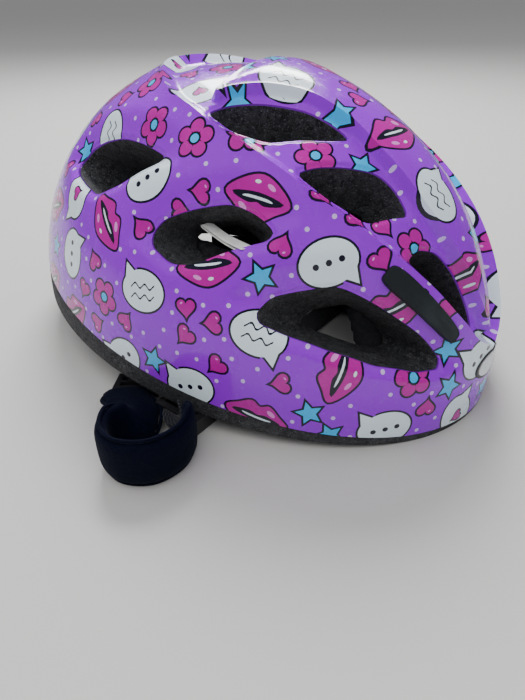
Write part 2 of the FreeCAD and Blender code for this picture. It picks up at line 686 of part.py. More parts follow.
def chin_pad_shape():
    """The chin pad: a soft band on its edge, folded back on itself in a loop beside the helmet."""
    middle = V(size("chin_x"), size("chin_y"), 0)
    radius = size("chin_radius")
    half = size("chin_wall") / 2
    enter = math.radians(207)
    leave = math.radians(387)
    start = V(-1, -99, 0)
    outline = []
    sides = {}
    for inset in (half, -half):
        reach = radius + inset
        first = middle + V(math.cos(enter), math.sin(enter), 0) * reach
        bottom = middle + V(math.cos((enter + leave) / 2), math.sin((enter + leave) / 2), 0) * reach
        last = middle + V(math.cos(leave), math.sin(leave), 0) * reach
        way = (middle + V(math.cos(enter), math.sin(enter), 0) * radius - start).normalize()
        left = V(way.y, -way.x, 0)
        foot = start + left * inset
        tip = last + V(-0.35, 1, 0).normalize() * 8
        sides[inset] = (foot, first, bottom, last, tip)
    outer = sides[half]
    inner = sides[-half]
    outline.append(Part.LineSegment(outer[0], outer[1]).toShape())
    outline.append(Part.Arc(outer[1], outer[2], outer[3]).toShape())
    outline.append(Part.LineSegment(outer[3], outer[4]).toShape())
    outline.append(Part.LineSegment(outer[4], inner[4]).toShape())
    outline.append(Part.LineSegment(inner[4], inner[3]).toShape())
    outline.append(Part.Arc(inner[3], inner[2], inner[1]).toShape())
    outline.append(Part.LineSegment(inner[1], inner[0]).toShape())
    outline.append(Part.LineSegment(inner[0], outer[0]).toShape())
    solid = Part.Face(Part.Wire(outline)).extrude(V(0, 0, size("chin_high")))
    solid.translate(V(0, 0, size("table_gap")))
    return solid


node(made("chin_pad_made", chin_pad_shape()), "chin_pad")


def socket_shape():
    """The buckle's socket: a flat box, open towards the tongue, with a bar for the chin pad's loop."""
    half = size("buckle_width") / 2
    high = size("buckle_high")
    low = V(BUCKLE_X - half, size("socket_y"), size("table_gap"))
    outside = Part.makeBox(2 * half, size("socket_length"), high, low)
    pocket = Part.makeBox(2 * half - 4, size("socket_length") - 10, high - 3.2, low + V(2, 10, 1.6))
    slot = Part.makeBox(2 * half - 7, 3.2, 20, low + V(3.5, 3, -5))
    window = Part.makeBox(60, 9, high - 3.2, low + V(-10, 14, 1.6))
    return outside.cut(pocket).cut(slot).cut(window)


def tongue_shape():
    """The buckle's tongue: a shoulder with a webbing bar, two side prongs and a centre guide."""
    half = size("buckle_width") / 2
    high = size("buckle_high")
    low = size("table_gap")
    shoulder = Part.makeBox(2 * half, 8, high, V(BUCKLE_X - half, SOCKET_END + 0.3, low))
    shoulder = shoulder.cut(Part.makeBox(2 * half - 7, 3, 20, V(BUCKLE_X - half + 3.5, SOCKET_END + 3, -5)))
    inner = high - 3.2 - 0.4
    reach = size("socket_length") - 10 - 1
    pieces = []
    for prong_x, wide in ((-half + 2.3, 3.6), (half - 5.9, 3.6), (-1.6, 3.2)):
        corner = V(BUCKLE_X + prong_x, SOCKET_END - reach, low + 1.8)
        pieces.append(Part.makeBox(wide, reach + 0.3, inner, corner))
    return shoulder.fuse(pieces).removeSplitter()


node(made("socket_made", socket_shape()), "buckle_socket")
node(made("tongue_made", tongue_shape()), "buckle_tongue")


def keeper_shape():
    """A rubber keeper round the free stretch of the left chin strap."""
    gap = 0.15
    wall = size("keeper_wall")
    wide = size("webbing_width") + 2 * gap
    tall = size("webbing_wall") + 2 * gap
    low = V(BUCKLE_X - wide / 2, -30, size("table_gap") - gap)
    outside = Part.makeBox(wide + 2 * wall, size("keeper_length"), tall + wall + 0.2, low - V(wall, 0, 0.2))
    return outside.cut(Part.makeBox(wide, 30, tall, low - V(0, 10, 0)))


node(made("keeper_made", keeper_shape()), "strap_keeper")


def label_shape():
    """A folded fabric label that stands in the right middle side vent."""
    tag = Part.makeBox(22, 0.8, 7, V(0, 0, 0))
    tag.rotate(V(0, 0, 0), V(0, 1, 0), 11)
    tag.translate(V(15, -65.5, 75))
    return tag


node(made("label_made", label_shape()), "care_label", TIPPED)

# ---------------------------------------------------------------- check and export

doc.recompute()
os.makedirs("parts", exist_ok=True)
problems = []
for thing in doc.Objects:
    if "Invalid" in thing.State or "Error" in thing.State:
        problems.append(thing.Name)
for thing in nodes:
    if thing.Shape.isNull() or not thing.Shape.isValid():
        problems.append(thing.Label)
if problems:
    raise SystemExit("these objects failed: " + ", ".join(problems))
for thing in nodes:
    thing.Shape.exportStep("parts/%s.step" % thing.Label)
    print(thing.Label, len(thing.Shape.Solids), "solids", round(thing.Shape.Volume), "mm3")
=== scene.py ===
"""A child's cycling helmet with a printed shell, resting on a pale floor."""
import math
import random

import bmesh
import bpy
import numpy as np
from mathutils import Matrix, Vector
from mathutils.geometry import delaunay_2d_cdt
from mathutils.kdtree import KDTree


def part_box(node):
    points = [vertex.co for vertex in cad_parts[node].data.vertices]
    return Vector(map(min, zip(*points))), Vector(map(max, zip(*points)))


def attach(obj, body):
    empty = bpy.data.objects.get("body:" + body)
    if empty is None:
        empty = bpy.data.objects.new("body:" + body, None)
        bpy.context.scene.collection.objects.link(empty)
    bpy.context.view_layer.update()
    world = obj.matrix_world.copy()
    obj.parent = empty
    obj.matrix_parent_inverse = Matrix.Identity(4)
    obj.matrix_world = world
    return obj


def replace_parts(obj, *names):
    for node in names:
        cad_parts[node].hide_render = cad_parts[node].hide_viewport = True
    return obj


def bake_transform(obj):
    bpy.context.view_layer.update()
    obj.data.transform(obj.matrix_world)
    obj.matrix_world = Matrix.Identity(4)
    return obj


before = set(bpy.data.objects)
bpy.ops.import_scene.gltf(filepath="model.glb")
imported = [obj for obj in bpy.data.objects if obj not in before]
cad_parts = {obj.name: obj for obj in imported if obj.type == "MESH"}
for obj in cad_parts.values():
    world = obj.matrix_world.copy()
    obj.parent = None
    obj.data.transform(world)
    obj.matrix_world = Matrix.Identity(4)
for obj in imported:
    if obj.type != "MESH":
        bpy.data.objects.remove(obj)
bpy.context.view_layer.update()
MM = 0.001

# the helmet's own level frame, in millimetres: the dome is an ellipsoid whose widest level is z = 0
DOME = np.array([137.0, 96.0, 127.0])
DOME_CENTRE = np.array([-3.0, 0.0, 0.0])
HEAD = np.array([103.0, 75.0, 104.0])
HEAD_CENTRE = np.array([2.0, 0.0, 0.0])
REST_PITCH = math.radians(9)
REST_LIFT = 13.0
SHELL_EDGE_Z = 10.0
SHELL_WALL = 0.9
MAP_RADIUS = 110.0
TIP = np.array(Matrix.Rotation(REST_PITCH, 3, "Y"))


def rest(points):
    """Points of the level helmet frame, tipped and lifted as the helmet rests, in metres."""
    moved = np.asarray(points, float) @ TIP.T
    moved[..., 2] += REST_LIFT
    return moved * MM


# ---------------------------------------------------------------- camera, light and floor

def make_stage():
    """A wide pale floor, three soft lamps, a sky lamp over a dim sky, and the camera."""
    scene = bpy.context.scene
    floor = bpy.data.meshes.new("floor")
    reach = 40.0
    corners = [(-reach, -reach, 0), (reach, -reach, 0), (reach, reach, 0), (-reach, reach, 0)]
    floor.from_pydata(corners, [], [(0, 1, 2, 3)])
    plane = bpy.data.objects.new("floor", floor)
    scene.collection.objects.link(plane)
    paint = bpy.data.materials.new("floor_paint")
    paint.use_nodes = True
    shader = paint.node_tree.nodes["Principled BSDF"]
    shader.inputs["Base Color"].default_value = (0.50, 0.49, 0.48, 1)
    shader.inputs["Roughness"].default_value = 0.6
    floor.materials.append(paint)

    world = bpy.data.worlds.new("studio")
    world.use_nodes = True
    world.node_tree.nodes["Background"].inputs["Color"].default_value = (0.93, 0.96, 1.0, 1)
    world.node_tree.nodes["Background"].inputs["Strength"].default_value = 0.2
    scene.world = world
    lamp_aim = Vector((0, 0, 0.06))
    for name, place, width, depth, power in (
        ("window_lamp", (-0.52, 0.62, 1.0), 0.62, 0.46, 24),
        ("fill_lamp", (1.3, -0.6, 1.5), 2.0, 2.0, 14),
        ("top_lamp", (-0.6, -0.8, 1.7), 2.4, 2.4, 26),
    ):
        light = bpy.data.lights.new(name, "AREA")
        light.shape = "RECTANGLE"
        light.size = width
        light.size_y = depth
        light.energy = power
        lamp = bpy.data.objects.new(name, light)
        lamp.location = place
        lamp.rotation_euler = (lamp_aim - Vector(place)).to_track_quat("-Z", "Y").to_euler()
        lamp.visible_glossy = name == "window_lamp"
        scene.collection.objects.link(lamp)
    sky = bpy.data.lights.new("sky_lamp", "SUN")
    sky.energy = 0.9
    sky.angle = math.radians(100)
    lamp = bpy.data.objects.new("sky_lamp", sky)
    lamp.visible_glossy = False
    scene.collection.objects.link(lamp)

    camera = bpy.data.cameras.new("camera")
    camera.sensor_fit = "VERTICAL"
    camera.sensor_height = 36
    camera.lens = 27.7
    viewer = bpy.data.objects.new("camera", camera)
    place = Vector((0.1752, -0.2183, 0.1647))
    aim = Vector((0.0216, -0.0218, -0.0021))
    roll = Matrix.Rotation(math.radians(-0.63), 4, "Z")
    turned = (aim - place).to_track_quat("-Z", "Y").to_matrix().to_4x4() @ roll
    viewer.matrix_world = Matrix.Translation(place) @ turned
    scene.collection.objects.link(viewer)
    scene.camera = viewer


make_stage()


# ---------------------------------------------------------------- material helpers

class Paint:
    """A Principled material, with short calls for the nodes that feed it."""

    def __init__(self, name, color, roughness, **sockets):
        self.material = bpy.data.materials.new(name)
        self.material.use_nodes = True
        self.tree = self.material.node_tree
        self.shader = self.tree.nodes["Principled BSDF"]
        self.shader.inputs["Base Color"].default_value = (*color, 1)
        self.shader.inputs["Roughness"].default_value = roughness
        self.normal = None
        for key, value in sockets.items():
            self.shader.inputs[key.replace("_", " ")].default_value = value

    def node(self, kind, **settings):
        made = self.tree.nodes.new("ShaderNode" + kind)
        for key, value in settings.items():
            if hasattr(made, key):
                setattr(made, key, value)
            else:
                made.inputs[key.replace("_", " ")].default_value = value
        return made

    def link(self, source, target):
        self.tree.links.new(source, target)

    def place(self):
        """The point in the object's own space."""
        return self.node("TexCoord").outputs["Object"]

    def uv(self):
        return self.node("UVMap", uv_map="cloth").outputs["UV"]

    def noise(self, scale, detail):
        made = self.node("TexNoise", Scale=scale, Detail=detail)
        self.link(self.place(), made.inputs["Vector"])
        return made.outputs["Fac"]

    def cells(self, scale, feature="F1", output="Distance"):
        made = self.node("TexVoronoi", feature=feature, Scale=scale)
        self.link(self.place(), made.inputs["Vector"])
        return made.outputs[output]

    def math(self, operation, a, b=0.5):
        made = self.node("Math", operation=operation)
        for socket, value in zip(made.inputs, (a, b)):
            if hasattr(value, "links"):
                self.link(value, socket)
            else:
                socket.default_value = value
        return made.outputs[0]

    def spread(self, value, low, high, to_low, to_high):
        made = self.node("MapRange", From_Min=low, From_Max=high, To_Min=to_low, To_Max=to_high)
        self.link(value, made.inputs["Value"])
        return made.outputs[0]

    def mix(self, factor, a, b, blend="MIX"):
        made = self.node("Mix", data_type="RGBA", blend_type=blend)
        slots = [item for item in made.inputs if item.type == "RGBA"]
        self.link(factor, made.inputs[0])
        for socket, value in zip(slots, (a, b)):
            if hasattr(value, "links"):
                self.link(value, socket)
            else:
                socket.default_value = (*value, 1)
        return [item for item in made.outputs if item.type == "RGBA"][0]

    def bump(self, height, distance, strength=1.0):
        made = self.node("Bump", Distance=distance, Strength=strength)
        self.link(height, made.inputs["Height"])
        if self.normal is not None:
            self.link(self.normal, made.inputs["Normal"])
        self.normal = made.outputs["Normal"]
        self.link(self.normal, self.shader.inputs["Normal"])
        return self

    def color(self, source):
        self.link(source, self.shader.inputs["Base Color"])
        return self

    def roughness(self, source):
        self.link(source, self.shader.inputs["Roughness"])
        return self


def film_paint():
    """Glossy printed film: its colours are on the mesh, with faint haze and handling marks."""
    paint = Paint("printed_film", (0.3, 0.08, 0.7), 0.2, Coat_Weight=0.6, Coat_Roughness=0.06, IOR=1.5,
                  Specular_IOR_Level=0.25)
    print_color = paint.node("Attribute", attribute_name="print").outputs["Color"]
    cloudy = paint.spread(paint.noise(35, 4), 0.35, 0.65, 0.0, 1.0)
    paint.color(paint.mix(cloudy, print_color, (0.93, 0.93, 0.96), "MULTIPLY"))
    marks = paint.noise(220, 6)
    paint.roughness(paint.spread(marks, 0.35, 0.75, 0.16, 0.34))
    return paint.bump(paint.noise(90, 2), 0.00012, 0.12).material


def foam_paint():
    """Expanded polystyrene: fused beads, each a slightly different grey, with dark joints and pale specks."""
    paint = Paint("bead_foam", (0.03, 0.03, 0.032), 0.8, Specular_IOR_Level=0.5)
    beads = 620
    grey = paint.node("SeparateColor")
    paint.link(paint.cells(beads, output="Color"), grey.inputs["Color"])
    base = paint.mix(grey.outputs[0], (0.010, 0.010, 0.011), (0.050, 0.050, 0.055))
    specks = paint.spread(paint.noise(1500, 4), 0.56, 0.68, 0.0, 0.8)
    speckled = paint.mix(specks, base, (0.15, 0.16, 0.17))
    dusty = paint.spread(paint.noise(60, 5), 0.4, 0.7, 0.0, 0.6)
    paint.color(paint.mix(dusty, speckled, (0.028, 0.030, 0.034)))
    paint.roughness(paint.spread(paint.noise(300, 3), 0.3, 0.7, 0.6, 0.9))
    joints = paint.spread(paint.cells(beads, "DISTANCE_TO_EDGE"), 0.0, 0.15, 0.0, 1.0)
    return paint.bump(joints, 0.0003, 0.7).bump(paint.noise(1700, 3), 0.0002, 0.6).material


def plastic_paint(name, color, roughness=0.42, grain=900, gloss=0.5):
    """Moulded plastic with a fine eroded grain and rubbed patches."""
    paint = Paint(name, color, roughness, Specular_IOR_Level=gloss)
    rubbed = paint.spread(paint.noise(70, 5), 0.35, 0.7, roughness - 0.1, roughness + 0.14)
    paint.roughness(rubbed)
    lighter = tuple(min(1, part * 1.5 + 0.012) for part in color)
    paint.color(paint.mix(paint.spread(paint.noise(160, 6), 0.5, 0.8, 0, 0.6), color, lighter))
    return paint.bump(paint.noise(grain, 2), 0.00008, 0.6).material


def steel_paint():
    """Plated steel with fine brushing."""
    paint = Paint("plated_steel", (0.62, 0.62, 0.63), 0.3, Metallic=1.0)
    paint.roughness(paint.spread(paint.noise(500, 5), 0.3, 0.7, 0.22, 0.42))
    return paint.bump(paint.noise(1200, 2), 0.00004, 0.5).material


def webbing_paint():
    """Woven polyester webbing: a herringbone of ribs with shiny threads, on the piece's own UVs. The raised
    threads are coloured lighter and the grooves darker: painted highlight and shade.
    """
    paint = Paint("webbing", (0.012, 0.012, 0.016), 0.6, Sheen_Weight=0.08, Sheen_Roughness=0.5,
                  Specular_IOR_Level=0.3)
    twill_pitch = 0.0016
    row_pitch = 0.0012
    split = paint.node("SeparateXYZ")
    paint.link(paint.uv(), split.inputs[0])
    across = split.outputs[0]
    along = split.outputs[1]
    side = paint.math("ABSOLUTE", across)
    slanted = paint.math("ADD", along, side)
    twill = paint.math("SINE", paint.math("MULTIPLY", slanted, math.tau / twill_pitch))
    rows = paint.math("SINE", paint.math("MULTIPLY", across, math.tau / row_pitch))
    weave = paint.math("ADD", paint.math("MULTIPLY", twill, 0.6), paint.math("MULTIPLY", rows, 0.4))
    # painted highlight and shade: the colour follows the weave's height, lighter on the raised threads and
    # darker in the grooves
    paint.color(paint.mix(paint.spread(weave, -1, 1, 0, 1), (0.006, 0.006, 0.008), (0.03, 0.031, 0.038)))
    paint.roughness(paint.spread(weave, -1, 1, 0.75, 0.5))
    return paint.bump(weave, 0.00025, 0.8).bump(paint.noise(2500, 2), 0.0001, 0.4).material


def knit_paint(name, dark, light, scale=700, sheen=0.22, gloss=0.5):
    """A soft knitted face over foam, with nap, lint and rubbed places."""
    paint = Paint(name, dark, 0.9, Sheen_Weight=sheen, Sheen_Roughness=0.45, Sheen_Tint=(0.4, 0.45, 0.6, 1),
                  Specular_IOR_Level=gloss)
    loops = paint.cells(scale, "SMOOTH_F1")
    worn = paint.spread(paint.noise(45, 5), 0.4, 0.7, 0.0, 1.0)
    base = paint.mix(paint.spread(loops, 0, 0.8, 0, 1), light, dark)
    paint.color(paint.mix(worn, base, tuple(part * 1.3 for part in dark)))
    paint.bump(loops, 0.0003, 0.6)
    return paint.bump(paint.noise(1800, 4), 0.00025, 0.6).material


def rubber_paint():
    """Matte rubber with a fine leather-like grain."""
    paint = Paint("insert_rubber", (0.012, 0.015, 0.014), 0.62, Specular_IOR_Level=0.5)
    paint.roughness(paint.spread(paint.noise(120, 5), 0.3, 0.7, 0.5, 0.72))
    worn = paint.spread(paint.noise(80, 5), 0.4, 0.7, 0, 1)
    paint.color(paint.mix(worn, (0.009, 0.013, 0.016), (0.018, 0.026, 0.030)))
    return paint.bump(paint.cells(1500), 0.00008, 0.6).material


def label_paint():
    """White satin tape with fine cross threads."""
    paint = Paint("label_tape", (0.75, 0.75, 0.72), 0.6, Sheen_Weight=0.3)
    worn = paint.spread(paint.noise(150, 5), 0.4, 0.7, 0, 1)
    paint.color(paint.mix(worn, (0.8, 0.8, 0.77), (0.6, 0.6, 0.58)))
    return paint.bump(paint.noise(1500, 2), 0.0002, 0.7).material


FILM = film_paint()
FOAM = foam_paint()
BLACK = plastic_paint("black_plastic", (0.012, 0.012, 0.014), 0.36, 900, 0.5)
RING = plastic_paint("ring_plastic", (0.016, 0.016, 0.018), 0.45)
DIAL = plastic_paint("dial_plastic", (0.03, 0.03, 0.034), 0.5)
GEAR = plastic_paint("gear_plastic", (0.55, 0.55, 0.52), 0.4)
MAGENTA = plastic_paint("magenta_plastic", (0.45, 0.015, 0.18), 0.35)
STEEL = steel_paint()
WEBBING = webbing_paint()
PADDING = knit_paint("pad_knit", (0.012, 0.012, 0.015), (0.04, 0.04, 0.045))
CHIN_KNIT = knit_paint("chin_knit", (0.0012, 0.0019, 0.007), (0.0032, 0.005, 0.017), 620, 0.03, 0.1)
HOOKS = knit_paint("hook_tape", (0.01, 0.01, 0.01), (0.05, 0.05, 0.05), 1600)
RUBBER = rubber_paint()
LABEL = label_paint()
BADGE_FACE = plastic_paint("badge_face", (0.72, 0.76, 0.82), 0.3, 400)


# ---------------------------------------------------------------- the dome's surface

def to_map(points):
    """Level-frame points to the flat map: distance from the crown and direction round it."""
    unit = (np.asarray(points, float) - DOME_CENTRE) / DOME
    unit /= np.linalg.norm(unit, axis=-1, keepdims=True)
    angle = np.arccos(np.clip(unit[..., 2], -1, 1))
    flat = np.linalg.norm(unit[..., :2], axis=-1) + 1e-12
    return unit[..., :2] / flat[..., None] * (angle * MAP_RADIUS)[..., None]


def from_map(spots):
    """Map points to the plain dome's points and outward directions."""
    spots = np.asarray(spots, float)
    reach = np.linalg.norm(spots, axis=-1) + 1e-12
    angle = reach / MAP_RADIUS
    unit = np.empty(spots.shape[:-1] + (3,))
    unit[..., :2] = spots / reach[..., None] * np.sin(angle)[..., None]
    unit[..., 2] = np.cos(angle)
    normal = unit / DOME
    normal /= np.linalg.norm(normal, axis=-1, keepdims=True)
    return DOME_CENTRE + unit * DOME, normal


def on_dome(plan):
    """Points on the upper dome over plan positions (x, y)."""
    plan = np.asarray(plan, float)
    share = ((plan - DOME_CENTRE[:2]) / DOME[:2]) ** 2
    height = DOME[2] * np.sqrt(np.clip(1 - share.sum(-1), 0.001, None))
    return np.concatenate([plan, height[..., None]], -1)


def smooth(value):
    """A smooth step from 0 to 1."""
    share = np.clip(value, 0, 1)
    return share * share * (3 - 2 * share)


def through(points, count, closed=False):
    """A smooth curve through given points."""
    points = np.asarray(points, float)
    total = len(points)
    spans = total if closed else total - 1
    out = []
    for span in range(spans):
        picks = [span - 1, span, span + 1, span + 2]
        if closed:
            p0, p1, p2, p3 = (points[pick % total] for pick in picks)
        else:
            p0, p1, p2, p3 = (points[min(max(pick, 0), total - 1)] for pick in picks)
        for step in range(count):
            t = step / count
            out.append(0.5 * (2 * p1 + (p2 - p0) * t + (2 * p0 - 5 * p1 + 4 * p2 - p3) * t ** 2
                              + (3 * p1 - p0 - 3 * p2 + p3) * t ** 3))
    if not closed:
        out.append(points[-1])
    return np.array(out)


def rounded(corners, radius, steps=7):
    """A flat polygon with its corners rounded, as points."""
    corners = np.asarray(corners, float)
    out = []
    for index, corner in enumerate(corners):
        back = corners[index - 1] - corner
        ahead = corners[(index + 1) % len(corners)] - corner
        reach = min(radius, 0.48 * np.linalg.norm(back), 0.48 * np.linalg.norm(ahead))
        start = corner + back / np.linalg.norm(back) * reach
        end = corner + ahead / np.linalg.norm(ahead) * reach
        for step in range(steps):
            t = step / (steps - 1)
            out.append((1 - t) ** 2 * start + 2 * t * (1 - t) * corner + t ** 2 * end)
    return np.array(out)


def evenly(loop, spacing):
    """A closed loop's points at an even spacing."""
    closed = np.vstack([loop, loop[:1]])
    lengths = np.concatenate([[0], np.cumsum(np.linalg.norm(np.diff(closed, axis=0), axis=1))])
    count = max(8, int(round(lengths[-1] / spacing)))
    marks = np.linspace(0, lengths[-1], count + 1)[:-1]
    return np.stack([np.interp(marks, lengths, closed[:, axis]) for axis in (0, 1)], -1)


# vent outlines on the wearer's right side of the dome, then the way each vent opens
VENTS = {
    "side_rear": (
        ((-74, -58, 70), (-71, -55, 77), (-60, -55, 85), (-46, -56, 91), (-30, -58, 93), (-13, -61, 93),
         (-17, -65, 88), (-30, -71, 77), (-43, -73, 68), (-55, -69, 67), (-67, -64, 67)),
        (-0.2, -1, 0.9)),
    "side_middle": (
        ((-4, -78, 67), (-1, -75, 74), (10, -70, 81), (25, -63, 87), (37, -61, 86), (46, -61, 82),
         (45, -64, 79), (34, -71, 73), (21, -78, 63), (11, -81, 60), (-1, -80, 63)),
        (0.1, -1, 0.6)),
    "side_front": (
        ((51, -75, 54), (54, -71, 61), (64, -64, 66), (75, -56, 70), (83, -52, 68), (96, -43, 60),
         (108, -35, 52), (116, -30, 43), (116, -32, 39), (110, -41, 39), (96, -54, 42), (80, -64, 46),
         (65, -72, 49), (54, -76, 51)),
        (0.5, -1, 0.7)),
    "top_rear": (
        ((-9, -43, 110), (-3, -36, 114), (8, -29, 117), (27, -20, 118), (40, -18, 117), (49, -18, 112),
         (42, -26, 110), (33, -34, 109), (24, -42, 106), (8, -46, 107)),
        (0, -0.3, 1)),
    "top_middle": (
        ((40, -45, 100), (45, -38, 103), (53, -30, 104), (64, -20, 103), (73, -18, 99), (82, -20, 91),
         (76, -29, 90), (72, -38, 89), (56, -44, 96)),
        (0.3, -0.3, 1)),
    "top_front": (
        ((92, -33, 80), (92, -25, 83), (98, -16, 81), (106, -11, 73), (117, -7, 57), (120, -7, 49),
         (118, -14, 53), (109, -22, 65), (100, -29, 73)),
        (1, -0.3, 0.8)),
}
VENT_CORNER = 4.0
MIRROR = np.array([1.0, -1.0, 1.0])
VENT_SPACING = 2.0


def vent_loops():
    """Every vent's outline on the map, and the way it opens, on both sides."""
    loops = {}
    ways = {}
    for name, (corners, way) in VENTS.items():
        for side, flip in (("right", np.ones(3)), ("left", MIRROR)):
            flat = to_map(np.array(corners, float) * flip)
            loops[name + "_" + side] = evenly(rounded(flat, VENT_CORNER), VENT_SPACING)
            ways[name + "_" + side] = np.array(way) * flip / np.linalg.norm(way)
    return loops, ways


LOOPS, WAYS = vent_loops()
RIDGE_PLAN = [(-64, 0), (-58, 14), (-47, 28), (-30, 41), (-8, 47.5), (7, 50), (23, 50.5), (43, 49.5),
              (56, 48), (74, 43), (91, 36), (107, 27), (116, 20), (123, 12), (127, 0)]
RIB_PLAN = [(-9, 0), (-9, 20), (-9, 36), (-4, 31.5), (6, 24.5), (14, 20.5), (26, 16), (45, 14.5), (60, 15.5),
            (72, 15), (84, 14.5), (98, 11.5), (108, 7.5), (118, 3.5), (124, 0)]


def both_sides(plan):
    """A closed plan outline from its left half, whose ends lie on the mid-plane."""
    half = through(plan, 8)
    other = half[::-1] * np.array([1, -1])
    return np.vstack([half, other[1:-1]])


RIDGE = both_sides(RIDGE_PLAN)
RIB = both_sides(RIB_PLAN)
RIDGE_3D = on_dome(RIDGE)
RIB_3D = on_dome(RIB)


FAR = 25.0


class Line:
    """A closed line in space, ready for distances to it."""

    def __init__(self, loop, step=0.8):
        closed = np.vstack([loop, loop[:1]])
        pieces = []
        for first, last in zip(closed[:-1], closed[1:]):
            count = max(1, int(np.linalg.norm(last - first) / step))
            pieces.append(first + (last - first) * (np.arange(count) / count)[:, None])
        self.starts = np.concatenate(pieces)
        self.ends = np.roll(self.starts, -1, 0)
        self.middle = self.starts.mean(0)
        self.radius = np.linalg.norm(self.starts - self.middle, axis=1).max()
        self.tree = KDTree(len(self.starts))
        for index, spot in enumerate((self.starts + self.ends) / 2):
            self.tree.insert(spot, index)
        self.tree.balance()

    def distance(self, points, limit=FAR):
        """Each point's distance to the line, or the limit where it is further."""
        out = np.full(len(points), limit)
        close = np.where(np.linalg.norm(points - self.middle, axis=1) < self.radius + limit)[0]
        if len(close) == 0:
            return out
        found = np.array([self.tree.find(point)[1] for point in points[close]])
        start = self.starts[found]
        way = self.ends[found] - start
        share = ((points[close] - start) * way).sum(1) / (way * way).sum(1)
        foot = start + way * np.clip(share, 0, 1)[:, None]
        out[close] = np.minimum(np.linalg.norm(points[close] - foot, axis=1), limit)
        return out


def inside(points, loop):
    """Which points lie inside a closed flat loop."""
    low = loop.min(0)
    high = loop.max(0)
    near = np.where((points >= low).all(1) & (points <= high).all(1))[0]
    found = np.zeros(len(points), bool)
    if len(near) == 0:
        return found
    x = points[near, 0]
    y = points[near, 1]
    odd = np.zeros(len(near), bool)
    for first, last in zip(loop, np.roll(loop, -1, 0)):
        if first[1] == last[1]:
            continue
        crosses = (first[1] > y) != (last[1] > y)
        odd ^= crosses & (x < (last[0] - first[0]) * (y - first[1]) / (last[1] - first[1]) + first[0])
    found[near] = odd
    return found


RIDGE_LINE = Line(RIDGE_3D)
RIB_LINE = Line(RIB_3D)
VENT_LINES = {name: Line(from_map(loop)[0]) for name, loop in LOOPS.items()}
WALL_WIDTH = 3.0
LEDGE_WIDTH = 4.5
CHANNEL_DEPTH = 4.6
RIDGE_RISE = 2.2
RIDGE_FADE = 6.5
RIB_CROWN = 0.9
RIB_CROWN_WIDTH = 9.0
LIP_DEPTH = 1.0
LIP_REACH = 2.2
# the dip round a side vent, and how much deeper and wider it is above the vent
DIP_DEPTH = 1.2
DIP_DEEPER = 2.3
DIP_REACH = 5
DIP_WIDER = 10
DOME_TOP_FROM = 20
# the shell's grid is fine this near to the ridge, the rib and a vent's edge
RIDGE_BAND = 6.0
RIB_BAND = 5.0
LIP_BAND = 4.0
BAND_LIMIT = 8.0


def upward(loop):
    """A vent's middle on the map, and the way across it that leads to the crown."""
    middle = loop.mean(0)
    across = np.linalg.svd(loop - middle)[2][1]
    return middle, across if across @ middle < 0 else -across


SIDE_WAYS = {name: upward(loop) for name, loop in LOOPS.items() if name.startswith("side")}


def ramp(value):
    """A rise from 0 to 1 that starts with a crease and ends level."""
    share = np.clip(value, 0, 1)
    return 0.6 * share * (2 - share) + 0.4 * smooth(share)


def relief(points):
    """How far the moulded shell stands out of (+) or dips into (-) the plain dome, in millimetres."""
    upper = points[:, 2] > DOME_TOP_FROM
    in_band = inside(points[:, :2], RIDGE) & upper
    in_rib = inside(points[:, :2], RIB) & upper
    to_ridge = RIDGE_LINE.distance(points)
    to_rib = RIB_LINE.distance(points)
    channel = np.where(in_band & ~in_rib, ramp(to_ridge / LEDGE_WIDTH) * ramp(to_rib / WALL_WIDTH), 0)
    rise = RIDGE_RISE * np.exp(-to_ridge / RIDGE_FADE)
    rise += np.where(in_rib, RIB_CROWN * smooth(to_rib / RIB_CROWN_WIDTH), 0)
    spots = to_map(points)
    to_lip = np.full(len(points), FAR)
    dip = np.zeros(len(points))
    for name, line in VENT_LINES.items():
        gap = line.distance(points)
        to_lip = np.minimum(to_lip, gap)
        if name in SIDE_WAYS:
            middle, way = SIDE_WAYS[name]
            above = smooth((spots - middle) @ way / 10 + 0.3)
            reach = DIP_REACH + DIP_WIDER * above
            dip = np.maximum(dip, (DIP_DEPTH + DIP_DEEPER * above) * (1 - smooth(gap / reach)))
    dip *= smooth(to_ridge / 5.0)
    lip = LIP_DEPTH * (1 - smooth(to_lip / LIP_REACH))
    return rise - CHANNEL_DEPTH * channel - dip - lip


def surface(spots, step=0.2):
    """The moulded surface's points and outward directions over map points."""
    plain, normal = from_map(spots)
    centre = plain + normal * relief(plain)[:, None]
    ahead = []
    for shift in ((step, 0), (0, step)):
        moved, way = from_map(spots + np.array(shift))
        ahead.append(moved + way * relief(moved)[:, None])
    facing = np.cross(ahead[0] - centre, ahead[1] - centre)
    facing /= np.linalg.norm(facing, axis=1, keepdims=True)
    return centre, facing


def edge_loop(level, count=260):
    """The map loop where the dome meets a level that depends on x."""
    out = []
    for index in range(count):
        way = math.tau * index / count
        ray = np.array([math.cos(way), math.sin(way)])
        low, high = 0.8 * MAP_RADIUS, 1.8 * MAP_RADIUS
        for _ in range(30):
            middle = (low + high) / 2
            point = from_map(ray * middle)[0]
            if point[2] > level(point[0]):
                low = middle
            else:
                high = middle
        out.append(ray * low)
    return np.array(out)


def grid_over(border, spacing):
    """Staggered map points inside the border and outside the vents."""
    reach = np.abs(border).max()
    rows = np.arange(-reach, reach, spacing * 0.866)
    grid = []
    for index, row in enumerate(rows):
        shift = spacing / 2 * (index % 2)
        grid.extend((column + shift, row) for column in np.arange(-reach, reach, spacing))
    grid = np.array(grid)
    grid = grid[inside(grid, border)]
    for loop in LOOPS.values():
        grid = grid[~inside(grid, loop)]
    return grid


def clear_of(grid, lines, gap):
    """The grid's points that keep a gap from every point of the lines."""
    tree = KDTree(len(lines))
    for index, spot in enumerate(lines):
        tree.insert((spot[0], spot[1], 0), index)
    tree.balance()
    return grid[[tree.find((spot[0], spot[1], 0))[2] > gap for spot in grid]]


